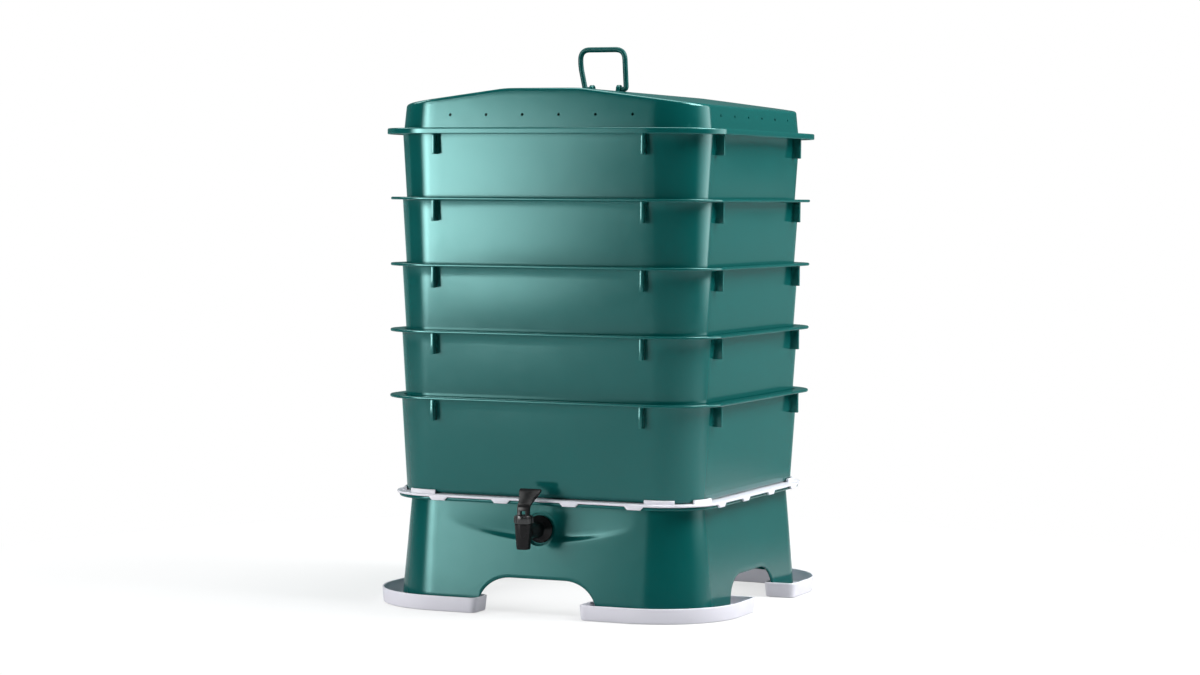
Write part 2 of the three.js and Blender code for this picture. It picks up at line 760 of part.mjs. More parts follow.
function makeSeal() {
  const low = -seatDrop + seatGap;
  const cup = turned([
    [0, low],
    [sealRadius, low],
    [sealRadius, low + sealLip],
    [sealNeckRadius, low + sealHeight],
    [0, low + sealHeight],
  ]);
  return cup.subtract(barZ(stemRadius + runGap, low + sealFloor, low + sealHeight + overrun, 16));
}

// The heights of the pieces over the floor
const standFoot = moatWall + seatGap;
const panelFoot = standFoot + standHeight + seatGap;
const firstTrayFoot = panelFoot + panelThick + seatGap;
const lidFoot = firstTrayFoot + (trayCount - 1) * trayPitch + trayHeight + seatGap;

const wormery = new THREE.Group();

const moatShape = makeMoat();
const moatNames = ["back_right", "back_left", "front_left", "front_right"];
moatNames.forEach((corner, i) => {
  const moat = piece("ant_tray_" + corner, moatShape, white);
  moat.rotation.z = (i * Math.PI) / 2;
  wormery.add(moat);
});

const standGroup = new THREE.Group();
standGroup.position.z = standFoot;
standGroup.add(piece("stand", makeStand(), green));
wormery.add(standGroup);

const tapGroup = new THREE.Group();
tapGroup.position.set(0, tapSeat - seatFace, tapHeight);
standGroup.add(tapGroup);
tapGroup.add(piece("tap_body", makeTapBody(), black));
tapGroup.add(piece("tap_collar", makeCollar(), black));
const pin = piece("tap_lever_pin", barX(pinRadius, -pinHalf, pinHalf, 12), black);
pin.position.z = pinLine;
tapGroup.add(pin);
const lever = piece("tap_lever", makeLever(), black);
lever.position.z = pinLine;
tapGroup.add(lever);
tapGroup.add(piece("tap_stem", makeStem(), black));
tapGroup.add(piece("tap_seal", makeSeal(), clear));
const outerWasher = piece("tap_outer_washer", makeWasher(washerRadius, washerThick), black);
outerWasher.position.y = flangeBack + seatGap;
tapGroup.add(outerWasher);
const innerWasher = piece("tap_inner_washer", makeWasher(nutRadius, innerWasherThick), black);
innerWasher.position.y = bossFace + seatGap;
tapGroup.add(innerWasher);
const nut = piece("tap_nut", makeNut(), black);
nut.position.y = innerWasherEnd + seatGap;
tapGroup.add(nut);

const panel = piece("filter_panel", makePanel(), white);
panel.position.z = panelFoot;
wormery.add(panel);

const trayShape = makeTray();
for (let i = 0; i < trayCount; i++) {
  const tray = piece("tray_" + (i + 1), trayShape, green);
  tray.position.z = firstTrayFoot + i * trayPitch;
  wormery.add(tray);
}

const lidGroup = new THREE.Group();
lidGroup.position.z = lidFoot;
wormery.add(lidGroup);
lidGroup.add(piece("lid", makeLid(), green));
const handle = piece("lid_handle", makeHandle(), green);
handle.position.z = lidCrest + handlePin;
lidGroup.add(handle);

// The origin stands under the middle of the whole, from the tap's collar to the back of the ant trays.
const frontReach = -(tapSeat - seatFace) + collarRadius;
wormery.position.y = (frontReach - moatHalf) / 2;

export default wormery;
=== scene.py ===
import math

import bmesh
import bpy
import numpy as np
from mathutils import Matrix, Vector


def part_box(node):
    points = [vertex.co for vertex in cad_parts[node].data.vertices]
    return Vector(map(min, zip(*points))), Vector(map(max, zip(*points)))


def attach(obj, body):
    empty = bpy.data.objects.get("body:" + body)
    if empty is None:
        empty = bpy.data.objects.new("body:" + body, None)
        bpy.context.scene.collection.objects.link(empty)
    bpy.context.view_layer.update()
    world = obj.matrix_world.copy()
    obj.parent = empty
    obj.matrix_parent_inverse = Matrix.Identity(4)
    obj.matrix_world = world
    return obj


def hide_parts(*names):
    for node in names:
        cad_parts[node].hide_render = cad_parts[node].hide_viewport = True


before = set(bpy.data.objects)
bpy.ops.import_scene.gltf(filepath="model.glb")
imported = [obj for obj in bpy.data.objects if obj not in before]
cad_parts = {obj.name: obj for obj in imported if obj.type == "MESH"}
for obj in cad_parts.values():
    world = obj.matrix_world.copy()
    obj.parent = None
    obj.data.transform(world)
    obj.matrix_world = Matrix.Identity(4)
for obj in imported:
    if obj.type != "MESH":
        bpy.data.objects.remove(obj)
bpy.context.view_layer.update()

mm = 0.001
middleY = sum(corner.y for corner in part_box("stand")) / 2  # the stack's own middle, front to back
edgeAngle = math.radians(38)
seatGap = 0.3 * mm  # air between a piece and the one it stands on
drillReach = 20 * mm  # longer than any wall that is drilled through

# The camera stands where the photograph was taken from
cameraSizes = {
    "place": (1.456, -3.444, 0.496),
    "azimuth": 22.92,
    "pitchDown": 2.72,
    "roll": 0.45,
    "lens": 90.9,
    "sensor": 36.0,
    "shiftX": -0.003,
}


def linked(name, data):
    obj = bpy.data.objects.new(name, data)
    bpy.context.scene.collection.objects.link(obj)
    return obj


def makeCamera():
    azimuth = math.radians(cameraSizes["azimuth"])
    pitch = math.radians(cameraSizes["pitchDown"])
    roll = math.radians(cameraSizes["roll"])
    level = Vector((-math.sin(azimuth), math.cos(azimuth), 0))
    forward = level * math.cos(pitch) + Vector((0, 0, -math.sin(pitch)))
    side = Vector((math.cos(azimuth), math.sin(azimuth), 0))
    top = side.cross(forward)
    side = side * math.cos(roll) + top * math.sin(roll)
    top = side.cross(forward)
    data = bpy.data.cameras.new("photoCamera")
    data.sensor_width = cameraSizes["sensor"]
    data.lens = cameraSizes["lens"]
    data.shift_x = cameraSizes["shiftX"]
    data.clip_end = 50
    camera = linked("photoCamera", data)
    turn = Matrix((side, top, -forward)).transposed().to_4x4()
    place = Vector(cameraSizes["place"]) + Vector((0, middleY, 0))
    camera.matrix_world = Matrix.Translation(place) @ turn
    bpy.context.scene.camera = camera


makeCamera()
print("camera placed")


# Mesh tools: meshes are built in metres, and then moved to their places in the frame
def meshObject(name, verts, faces):
    mesh = bpy.data.meshes.new(name)
    mesh.from_pydata([tuple(v) for v in verts], [], [tuple(f) for f in faces])
    return linked(name, mesh)


def edited(obj, change):
    # change edits the mesh, and the normals are turned outward after it
    work = bmesh.new()
    work.from_mesh(obj.data)
    change(work)
    bmesh.ops.recalc_face_normals(work, faces=work.faces)
    work.to_mesh(obj.data)
    work.free()
    return obj


def tidyMesh(obj, weld=1e-6):
    def change(work):
        bmesh.ops.remove_doubles(work, verts=work.verts, dist=weld)
        bmesh.ops.dissolve_degenerate(work, edges=work.edges, dist=weld)

    return edited(obj, change)


def capped(obj, flip=False, split=False):
    # closes open ends; flip mirrors front to back, split cuts large caps into triangles
    def change(work):
        bmesh.ops.holes_fill(work, edges=work.edges)
        if split:
            bmesh.ops.triangulate(work, faces=[f for f in work.faces if len(f.verts) > 4])
        if flip:
            bmesh.ops.scale(work, vec=(1, -1, 1), verts=work.verts)

    return edited(obj, change)


def bakedCopy(obj, name):
    # the evaluated mesh of an object, as a plain mesh with no modifiers
    bpy.context.view_layer.update()
    graph = bpy.context.evaluated_depsgraph_get()
    mesh = bpy.data.meshes.new_from_object(obj.evaluated_get(graph))
    mesh.transform(obj.matrix_world)
    old = obj.data
    bpy.data.objects.remove(obj)
    if old.users == 0:
        bpy.data.meshes.remove(old)
    mesh.name = name
    return linked(name, mesh)


def joined(name, objs):
    work = bmesh.new()
    for obj in objs:
        work.from_mesh(obj.data)
    mesh = bpy.data.meshes.new(name)
    work.to_mesh(mesh)
    work.free()
    for obj in objs:
        bpy.data.objects.remove(obj)
    return linked(name, mesh)


def cut(obj, cutter, how="DIFFERENCE"):
    name = obj.name
    modifier = obj.modifiers.new("cut", "BOOLEAN")
    modifier.operation = how
    modifier.solver = "EXACT"
    modifier.object = cutter
    made = bakedCopy(obj, name + "Cut")
    bpy.data.objects.remove(cutter)
    made.name = name
    return made


def moved(obj, x=0.0, y=0.0, z=0.0):
    obj.data.transform(Matrix.Translation((x, y, z)))
    return obj


def copyOf(obj, name):
    return linked(name, obj.data.copy())


def filleted(corners, cuts=5):
    # an open line of (reach, z, radius) corners with each corner rounded to its radius
    line = []
    for i, (x, z, radius) in enumerate(corners):
        here = Vector((x, z))
        if radius <= 0 or i in (0, len(corners) - 1):
            line.append((x, z))
            continue
        back = Vector(corners[i - 1][:2]) - here
        on = Vector(corners[i + 1][:2]) - here
        half = back.angle(on) / 2
        run = radius / math.tan(half)
        centre = here + (back.normalized() + on.normalized()).normalized() * (radius / math.sin(half))
        first = here + back.normalized() * run - centre
        last = here + on.normalized() * run - centre
        sweep = first.angle_signed(last)
        for k in range(cuts + 1):
            turn = -sweep * k / cuts
            line.append(
                (
                    centre.x + first.x * math.cos(turn) - first.y * math.sin(turn),
                    centre.y + first.x * math.sin(turn) + first.y * math.cos(turn),
                )
            )
    return line


# A round-cornered square is a ring of columns: a base point on a square, and the way out from it
def squareColumns(centre, places, cornerCuts):
    rows = []
    for quarter in range(4):
        turn = quarter * math.pi / 2
        c, s = math.cos(turn), math.sin(turn)
        local = [(centre, u, 1.0, 0.0, 0, u) for u in places]
        for k in range(cornerCuts + 1):
            angle = k / cornerCuts * math.pi / 2
            local.append((centre, centre, math.cos(angle), math.sin(angle), 1, angle))
        for bx, by, nx, ny, kind, along in local:
            base, out = (bx * c - by * s, bx * s + by * c), (nx * c - ny * s, nx * s + ny * c)
            rows.append((*base, *out, quarter, kind, along))
    return np.array(rows)


def ringPoints(columns, reach, z):
    # reach and z are one value for the ring or one for each column
    reach = np.broadcast_to(reach, len(columns))
    z = np.broadcast_to(z, len(columns))
    x = columns[:, 0] + columns[:, 2] * reach
    y = columns[:, 1] + columns[:, 3] * reach
    return np.stack([x, y, z], 1)


def ringMesh(name, rings, patches=()):
    # rings of equal count joined by quads, and loose grids of points that close the middle
    count = len(rings[0])
    verts = np.concatenate(rings)
    faces = []
    for j in range(len(rings) - 1):
        for i in range(count):
            a, b = j * count + i, j * count + (i + 1) % count
            faces.append((a, b, b + count, a + count))
    for grid in patches:
        start = len(verts)
        high, wide = grid.shape[:2]
        verts = np.concatenate([verts, grid.reshape(-1, 3)])
        for j in range(high - 1):
            for i in range(wide - 1):
                a = start + j * wide + i
                faces.append((a, a + 1, a + wide + 1, a + wide))
    return tidyMesh(meshObject(name, verts, faces))


def middleGrid(centre, places, height):
    line = np.array([-centre, *places, centre])
    x, y = np.meshgrid(line, line)
    return np.stack([x, y, height(x, y)], 2)


def turnedMesh(name, profile, cuts=48, axis="Z"):
    # profile is (radius, height) points, closed on the axis or on itself
    rings = []
    for radius, height in profile:
        angle = np.arange(cuts) / cuts * 2 * math.pi
        ring = np.stack([radius * np.cos(angle), radius * np.sin(angle), np.full(cuts, height)], 1)
        rings.append(ring)
    obj = ringMesh(name, rings)
    if axis == "Y":
        obj.data.transform(Matrix.Rotation(-math.pi / 2, 4, "X"))
    if axis == "X":
        obj.data.transform(Matrix.Rotation(math.pi / 2, 4, "Y"))
    return obj


def drillMesh(name, radius, cuts, axis, start=-drillReach, end=drillReach):
    # a plain cylinder from start to end along an axis
    profile = [(0, start), (radius, start), (radius, end), (0, end)]
    return turnedMesh(name, profile, cuts, axis)


def rectangle(left, low, right, high):
    return [(left, low), (right, low), (right, high), (left, high)]


def plateMesh(name, outline, thick, bevel):
    # a flat (x, z) outline with a thickness along Y and rounded edges
    count = len(outline)
    verts = [(x, -thick / 2, z) for x, z in outline] + [(x, thick / 2, z) for x, z in outline]
    faces = [tuple(range(count)), tuple(range(2 * count - 1, count - 1, -1))]
    faces += [(i, i + count, (i + 1) % count + count, (i + 1) % count) for i in range(count)]
    obj = tidyMesh(meshObject(name, verts, faces))
    modifier = obj.modifiers.new("edges", "BEVEL")
    modifier.width = bevel
    modifier.segments = 3
    modifier.limit_method = "ANGLE"
    return bakedCopy(obj, name)


# Node tools, for geometry, materials, lights and the world
def feed(tree, socket, value):
    # a socket takes a plain value, or a link from another socket
    if isinstance(value, bpy.types.NodeSocket):
        tree.links.new(value, socket)
    elif value is not None:
        socket.default_value = value


def addNode(tree, kind, inputs=None, **settings):
    node = tree.nodes.new(kind)
    for label, value in settings.items():
        setattr(node, label, value)
    for label, value in (inputs or {}).items():
        feed(tree, node.inputs[label], value)
    return node


def newGroup(name, kind, inputs, outputs):
    # a node group with named sockets, and its two end nodes
    tree = bpy.data.node_groups.new(name, kind + "NodeTree")
    for label, what, value in inputs:
        socket = tree.interface.new_socket(label, in_out="INPUT", socket_type="NodeSocket" + what)
        if value is not None:
            socket.default_value = value
    for label, what in outputs:
        tree.interface.new_socket(label, in_out="OUTPUT", socket_type="NodeSocket" + what)
    return tree, tree.nodes.new("NodeGroupInput"), tree.nodes.new("NodeGroupOutput")


def mathNode(tree, operation, a, b):
    return addNode(tree, "ShaderNodeMath", {0: a, 1: b}, operation=operation).outputs[0]


def rangeNode(tree, value, low, high, newLow=0.0, newHigh=1.0):
    ends = {"From Min": low, "From Max": high, "To Min": newLow, "To Max": newHigh}
    return addNode(tree, "ShaderNodeMapRange", {"Value": value, **ends}).outputs["Result"]


def noiseNode(tree, vector, scale, detail=3.0, roughness=0.55):
    inputs = {"Vector": vector, "Scale": scale, "Detail": detail, "Roughness": roughness}
    return addNode(tree, "ShaderNodeTexNoise", inputs).outputs["Fac"]


def blendColour(tree, factor, first, second):
    first, second = ((*c, 1) if isinstance(c, tuple) else c for c in (first, second))
    inputs = {0: factor, 6: first, 7: second}
    return addNode(tree, "ShaderNodeMix", inputs, data_type="RGBA").outputs[2]


def partsOf(tree, vector):
    return addNode(tree, "ShaderNodeSeparateXYZ", {0: vector}).outputs


def vectorAlong(tree, axis, value):
    return addNode(tree, "ShaderNodeCombineXYZ", {axis: value}).outputs[0]


# Geometry Nodes: one tree repeats a part in a row and round the middle, one tiles a square
def geometryGroup(name, inputs):
    inputs = (("Geometry", "Geometry", None), *inputs, ("Finish", "Material", None))
    return newGroup(name, "Geometry", inputs, (("Geometry", "Geometry"),))


def instancesOn(tree, points, part, rotation=None):
    inputs = {"Points": points, "Instance": part, "Rotation": rotation}
    copies = addNode(tree, "GeometryNodeInstanceOnPoints", inputs).outputs["Instances"]
    return addNode(tree, "GeometryNodeRealizeInstances", {"Geometry": copies}).outputs["Geometry"]


def endTree(tree, geometry, given, out):
    inputs = {"Geometry": geometry, "Material": given.outputs["Finish"]}
    paint = addNode(tree, "GeometryNodeSetMaterial", inputs)
    tree.links.new(paint.outputs["Geometry"], out.inputs["Geometry"])


def makeRowAndTurnTree():
    inputs = (("Row Count", "Int", 2), ("Row Pitch", "Float", 0.1), ("Turns", "Int", 4))
    tree, given, out = geometryGroup("rowAndTurn", inputs)
    part, count, pitch, turns = (given.outputs[k] for k in range(4))
    span = mathNode(tree, "MULTIPLY", mathNode(tree, "SUBTRACT", count, 1), pitch)
    start = vectorAlong(tree, "Y", mathNode(tree, "MULTIPLY", span, -0.5))
    line = {"Count": count, "Offset": vectorAlong(tree, "Y", pitch), "Start Location": start}
    row = addNode(tree, "GeometryNodeMeshLine", line)
    inRow = instancesOn(tree, row.outputs["Mesh"], part)
    ring = addNode(tree, "GeometryNodeMeshLine", {"Count": turns, "Offset": (0, 0, 0)})
    index = tree.nodes.new("GeometryNodeInputIndex").outputs[0]
    share = mathNode(tree, "DIVIDE", index, turns)
    turn = vectorAlong(tree, "Z", mathNode(tree, "MULTIPLY", share, 2 * math.pi))
    endTree(tree, instancesOn(tree, ring.outputs["Mesh"], inRow, turn), given, out)
    return tree


def makeTileTree():
    inputs = (("Tiles", "Int", 20), ("Tile Size", "Float", 0.014))
    tree, given, out = geometryGroup("tiledPlate", inputs)
    part, tiles, size = (given.outputs[k] for k in range(3))
    span = mathNode(tree, "MULTIPLY", mathNode(tree, "SUBTRACT", tiles, 1), size)
    plan = {"Size X": span, "Size Y": span, "Vertices X": tiles, "Vertices Y": tiles}
    grid = addNode(tree, "GeometryNodeMeshGrid", plan)
    copies = instancesOn(tree, grid.outputs["Mesh"], part)
    weld = addNode(tree, "GeometryNodeMergeByDistance", {"Geometry": copies, "Distance": 1e-6})
    endTree(tree, weld.outputs["Geometry"], given, out)
    return tree


rowAndTurn = makeRowAndTurnTree()
tiledPlate = makeTileTree()


def grown(obj, name, tree, values):
    # a tree's values are set by the sockets' identifiers, and its result is baked
    modifier = obj.modifiers.new("repeat", "NODES")
    modifier.node_group = tree
    for socket in tree.interface.items_tree:
        if socket.in_out == "INPUT" and socket.name in values:
            modifier[socket.identifier] = values[socket.name]
    return bakedCopy(obj, name)


def repeated(obj, name, finish, count=1, pitch=0.0, turns=4):
    values = {"Row Count": count, "Row Pitch": pitch, "Turns": turns}
    return grown(obj, name, rowAndTurn, {**values, "Finish": finishes[finish]})


def tiled(obj, name, finish, tiles, size):
    values = {"Tiles": tiles, "Tile Size": size, "Finish": finishes[finish]}
    return grown(obj, name, tiledPlate, values)


print("node trees ready")


# Shader groups: masks that every plastic shares
skinSizes = {
    "waveScale": 22.0,
    "waveHeight": 3.0,
    "smudgeScale": 55.0,
    "wearScale": 130.0,
    "filmScale": 38.0,
    "dustRoughness": 0.5,
    "grainHeight": 0.4 * mm,
}


def makeMouldedGrain():
    # the skin of a moulded plastic: fine pebble, slow waviness of the wall, and cloudy colour
    scales = (("Grain Scale", "Float", 900.0), ("Cloud Scale", "Float", 9.0))
    outputs = (("Grain", "Float"), ("Cloud", "Float"), ("Smudge", "Float"))
    inputs = (("Vector", "Vector", None), *scales)
    tree, given, out = newGroup("mouldedGrain", "Shader", inputs, outputs)
    vector, grainScale, cloudScale = (given.outputs[k] for k in range(3))
    pebble = noiseNode(tree, vector, grainScale, 2.0)
    slow = noiseNode(tree, vector, skinSizes["waveScale"], 2.0)
    wave = mathNode(tree, "MULTIPLY", slow, skinSizes["waveHeight"])
    cloud = noiseNode(tree, vector, cloudScale, 4.0)
    smudge = noiseNode(tree, vector, skinSizes["smudgeScale"], 5.0, 0.7)
    feed(tree, out.inputs["Grain"], mathNode(tree, "ADD", pebble, wave))
    feed(tree, out.inputs["Cloud"], rangeNode(tree, cloud, 0.3, 0.7))
    feed(tree, out.inputs["Smudge"], rangeNode(tree, smudge, 0.4, 0.75))
    return tree


def makeEdgeWear():
    # pale rubbed edges, broken up so that no edge is worn evenly
    inputs = (("Vector", "Vector", None), ("Start", "Float", 0.52), ("End", "Float", 0.6))
    tree, given, out = newGroup("edgeWear", "Shader", inputs, (("Worn", "Float"),))
    vector, start, end = (given.outputs[k] for k in range(3))
    shape = tree.nodes.new("ShaderNodeNewGeometry")
    edge = rangeNode(tree, shape.outputs["Pointiness"], start, end)
    patches = noiseNode(tree, vector, skinSizes["wearScale"], 4.0)
    broken = rangeNode(tree, patches, 0.35, 0.65, 0.25, 1.0)
    feed(tree, out.inputs["Worn"], mathNode(tree, "MULTIPLY", edge, broken))
    return tree


def makeDust():
    # a thin film that lies on what faces up
    inputs = (("Vector", "Vector", None), ("Amount", "Float", 0.2))
    tree, given, out = newGroup("restingDust", "Shader", inputs, (("Dust", "Float"),))
    vector, amount = (given.outputs[k] for k in range(2))
    shape = tree.nodes.new("ShaderNodeNewGeometry")
    up = rangeNode(tree, partsOf(tree, shape.outputs["Normal"])["Z"], 0.55, 1.0)
    patches = noiseNode(tree, vector, skinSizes["filmScale"], 5.0, 0.65)
    lying = mathNode(tree, "MULTIPLY", up, rangeNode(tree, patches, 0.35, 0.8))
    feed(tree, out.inputs["Dust"], mathNode(tree, "MULTIPLY", lying, amount))
    return tree


mouldedGrain = makeMouldedGrain()
edgeWear = makeEdgeWear()
restingDust = makeDust()


plasticFinishes = {
    "greenPlastic": {
        "colour": (0.0015, 0.074, 0.069),
        "cloudColour": (0.0015, 0.079, 0.074),
        "wornColour": (0.06, 0.27, 0.25),
        "dustColour": (0.12, 0.20, 0.19),
        "roughness": (0.12, 0.16),
        "grainScale": 1400.0,
        "bump": 0.05,
        "worn": 0.15,
        "dust": 0.03,
        "specular": 0.85,
        "tint": (0.50, 1.0, 0.97),
    },
    "whitePlastic": {
        "colour": (0.70, 0.68, 0.75),
        "cloudColour": (0.74, 0.72, 0.78),
        "wornColour": (0.82, 0.82, 0.84),
        "dustColour": (0.55, 0.53, 0.50),
        "roughness": (0.42, 0.52),
        "grainScale": 1100.0,
        "bump": 0.05,
        "worn": 0.5,
        "dust": 0.12,
        "specular": 0.45,
    },
    "blackPlastic": {
        "colour": (0.005, 0.0045, 0.005),
        "cloudColour": (0.007, 0.0065, 0.007),
        "wornColour": (0.05, 0.05, 0.052),
        "dustColour": (0.10, 0.10, 0.10),
        "roughness": (0.22, 0.30),
        "grainScale": 1800.0,
        "bump": 0.08,
        "worn": 0.4,
        "dust": 0.05,
        "specular": 0.22,
    },
    "blackRubber": {
        "colour": (0.016, 0.016, 0.017),
        "cloudColour": (0.026, 0.026, 0.027),
        "wornColour": (0.05, 0.05, 0.05),
        "dustColour": (0.12, 0.12, 0.11),
        "roughness": (0.7, 0.85),
        "grainScale": 2200.0,
        "bump": 0.2,
        "worn": 0.3,
        "dust": 0.2,
        "specular": 0.3,
    },
    "milkySilicone": {
        "colour": (0.58, 0.56, 0.50),
        "cloudColour": (0.66, 0.64, 0.58),
        "wornColour": (0.7, 0.69, 0.64),
        "dustColour": (0.5, 0.48, 0.44),
        "roughness": (0.45, 0.55),
        "grainScale": 2000.0,
        "bump": 0.05,
        "worn": 0.2,
        "dust": 0.1,
        "specular": 0.4,
    },
}


def variant(base, **changes):
    return {**plasticFinishes[base], **changes}


# the stand is less shiny than the trays, the handle's rod is darker and duller than both,
# and the tap's collar is polished
plasticFinishes["standPlastic"] = variant("greenPlastic", roughness=(0.15, 0.20), specular=0.5)
plasticFinishes["polishedBlack"] = variant("blackPlastic", roughness=(0.08, 0.12), specular=0.9)
plasticFinishes["rodPlastic"] = variant(
    "greenPlastic",
    colour=(0.0015, 0.052, 0.048),
    cloudColour=(0.0015, 0.058, 0.054),
    wornColour=(0.03, 0.16, 0.15),
    roughness=(0.30, 0.38),
    bump=0.08,
    worn=0.1,
    specular=0.3,
)


def makePlastic(name):
    sizes = plasticFinishes[name]
    material = bpy.data.materials.new(name)
    material.use_nodes = True
    tree = material.node_tree
    where = tree.nodes.new("ShaderNodeTexCoord").outputs["Object"]

    def placed(group, values=None):
        inputs = {"Vector": where, **(values or {})}
        return addNode(tree, "ShaderNodeGroup", inputs, node_tree=group).outputs

    skin = placed(mouldedGrain, {"Grain Scale": sizes["grainScale"]})
    wornShare = mathNode(tree, "MULTIPLY", placed(edgeWear)["Worn"], sizes["worn"])
    film = placed(restingDust, {"Amount": sizes["dust"]})["Dust"]
    base = blendColour(tree, skin["Cloud"], sizes["colour"], sizes["cloudColour"])
    worn = blendColour(tree, wornShare, base, sizes["wornColour"])
    rough = rangeNode(tree, skin["Smudge"], 0.0, 1.0, *sizes["roughness"])
    rougher = mathNode(tree, "MULTIPLY", film, skinSizes["dustRoughness"])
    relief = {"Strength": sizes["bump"], "Distance": skinSizes["grainHeight"]}
    bump = addNode(tree, "ShaderNodeBump", {**relief, "Height": skin["Grain"]})
    looks = {
        "Base Color": blendColour(tree, film, worn, sizes["dustColour"]),
        "Roughness": mathNode(tree, "ADD", rough, rougher),
        "Specular IOR Level": sizes["specular"],
        "Specular Tint": (*sizes.get("tint", (1.0, 1.0, 1.0)), 1),
        "Normal": bump.outputs["Normal"],
    }
    for label, value in looks.items():
        feed(tree, tree.nodes["Principled BSDF"].inputs[label], value)
    return material


finishes = {name: makePlastic(name) for name in plasticFinishes}
print("finishes ready")


def finished(obj, finish, body, *nodes):
    # a finished piece takes its material, its body and the CAD nodes it stands for
    mesh = moved(obj, y=middleY).data
    mesh.materials.clear()
    mesh.materials.append(finishes[finish])
    count = len(mesh.polygons)
    mesh.polygons.foreach_set("material_index", [0] * count)
    mesh.polygons.foreach_set("use_smooth", [True] * count)
    mesh.set_sharp_from_angle(angle=edgeAngle)
    mesh.update()
    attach(obj, body)
    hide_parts(*nodes)


def shares(count):
    return np.linspace(0, 1, count)[1:]


def evenPlaces(centre, cuts):
    return np.linspace(-centre, centre, cuts + 1)[1:-1]


# Worm trays
trayLow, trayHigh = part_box("tray_1")
traySizes = {
    "height": trayHigh.z - trayLow.z,
    "half": 199.4 * mm,
    "footHalf": 192 * mm,
    "centre": 143.4 * mm,
    "wall": 2.5 * mm,
    "floor": 2.5 * mm,
    "rimHalf": (trayHigh.x - trayLow.x) / 2,
    "rimThick": 3.3 * mm,
    "rimRound": 1.2 * mm,
    "rimRoot": 0.8 * mm,
    "footRound": 5 * mm,
    "bow": 0.8 * mm,
    "rowPitch": 12 * mm,
    "tiles": 20,
    "drainRadius": 3.2 * mm,
    "drainSides": 8,
    "cornerCuts": 20,
    "ribPlace": 134 * mm,
    "ribThick": 4 * mm,
    "ribDrop": 25 * mm,
    "ribReach": 8.5 * mm,
    "ribRound": 0.6 * mm,
    "ribSink": 1 * mm,
    "ledgePlace": 88 * mm,
    "ledgeWidth": 30 * mm,
    "ledgeReach": 8 * mm,
    "ledgeThick": 5 * mm,
    "ledgeRound": 0.8 * mm,
    "ledgeTop": 78.97 * mm,
}


def tileMesh(name, size, hole, sides, low, high):
    # one square of a perforated plate, open at its sides so that tiles weld into one plate
    half = size / 2
    corners = [(half, half), (-half, half), (-half, -half), (half, -half)]
    turns = [(i + 0.5) / sides * 2 * math.pi for i in range(sides)]
    ring = [(hole * math.cos(turn), hole * math.sin(turn)) for turn in turns]
    verts = [(x, y, z) for z in (low, high) for x, y in corners + ring]
    level = 4 + sides
    faces = []
    quarter = sides // 4
    for layer in (0, level):
        for q in range(4):
            around = [layer + 4 + (q * quarter + k) % sides for k in range(quarter)]
            following = layer + 4 + ((q + 1) * quarter) % sides
            faces.append((layer + q, *reversed(around)))
            faces.append((layer + q, around[-1], following, layer + (q + 1) % 4))
    for i in range(sides):
        a, b = 4 + i, 4 + (i + 1) % sides
        faces.append((a, b, b + level, a + level))
    return meshObject(name, verts, faces)


def trayHalfAt(z):
    return traySizes["footHalf"] + (traySizes["half"] - traySizes["footHalf"]) * z / traySizes["height"]


def makeTray(name):
    s = traySizes
    centre, wall = s["centre"], s["wall"]
    rimLow = s["height"] - s["rimThick"]
    tile = 2 * centre / s["tiles"]
    columns = squareColumns(centre, evenPlaces(centre, s["tiles"]), s["cornerCuts"])
    out = [trayHalfAt(z) - centre for z in (0, rimLow, s["height"])]
    rim = s["rimHalf"] - centre
    outside = [
        (0, 0, 0),
        (out[0], 0, s["footRound"]),
        (out[1], rimLow, s["rimRoot"]),
        (rim, rimLow, s["rimRound"]),
        (rim, s["height"], s["rimRound"]),
        (out[2] - wall, s["height"], s["rimRound"]),
        (trayHalfAt(s["floor"]) - wall - centre, s["floor"], s["footRound"] - wall),
        (0, s["floor"], 0),
    ]
    outside = filleted(outside)
    rings = []
    for k, (reach, z) in enumerate(outside):
        rings.append(ringPoints(columns, reach, z))
        if k + 1 < len(outside):
            # long runs of wall get rows of their own, so that they can bow a little
            nextReach, nextZ = outside[k + 1]
            rows = int(abs(nextZ - z) / s["rowPitch"])
            for row in range(1, rows + 1):
                share = row / (rows + 1)
                along = np.where(columns[:, 5] == 0, np.cos(columns[:, 6] / centre * math.pi / 2), 0)
                bow = s["bow"] * along * math.sin(share * math.pi)
                at = reach + (nextReach - reach) * share
                rings.append(ringPoints(columns, at + bow, z + (nextZ - z) * share))
    shell = ringMesh(name + "Shell", rings)
    plate = tileMesh(name + "Tile", tile, s["drainRadius"], s["drainSides"], 0, s["floor"])
    plate = tiled(plate, name + "Floor", "greenPlastic", s["tiles"], tile)
    body = tidyMesh(joined(name + "Body", [shell, plate]))

    rootTop = trayHalfAt(rimLow) - wall / 2
    rootLow = trayHalfAt(rimLow - s["ribDrop"]) - wall / 2
    edge = s["half"] + s["ribReach"]
    ribLow = rimLow - s["ribDrop"]
    ribTop = rimLow + s["ribSink"]
    outline = [(rootTop, ribTop), (edge, ribTop), (edge, ribLow), (rootLow, ribLow)]
    rib = plateMesh(name + "Rib", outline, s["ribThick"], s["ribRound"])
    rib = repeated(rib, name + "Ribs", "greenPlastic", 2, 2 * s["ribPlace"])
    ledgeRoot = trayHalfAt(s["ledgeTop"]) - wall / 2
    ledgeTip = trayHalfAt(s["ledgeTop"]) - wall - s["ledgeReach"]
    ledgeLow = s["ledgeTop"] - s["ledgeThick"]
    outline = rectangle(ledgeTip, ledgeLow, ledgeRoot, s["ledgeTop"])
    ledge = plateMesh(name + "Ledge", outline, s["ledgeWidth"], s["ledgeRound"])
    ledge = repeated(ledge, name + "Ledges", "greenPlastic", 2, 2 * s["ledgePlace"])
    return joined(name, [body, rib, ledge])


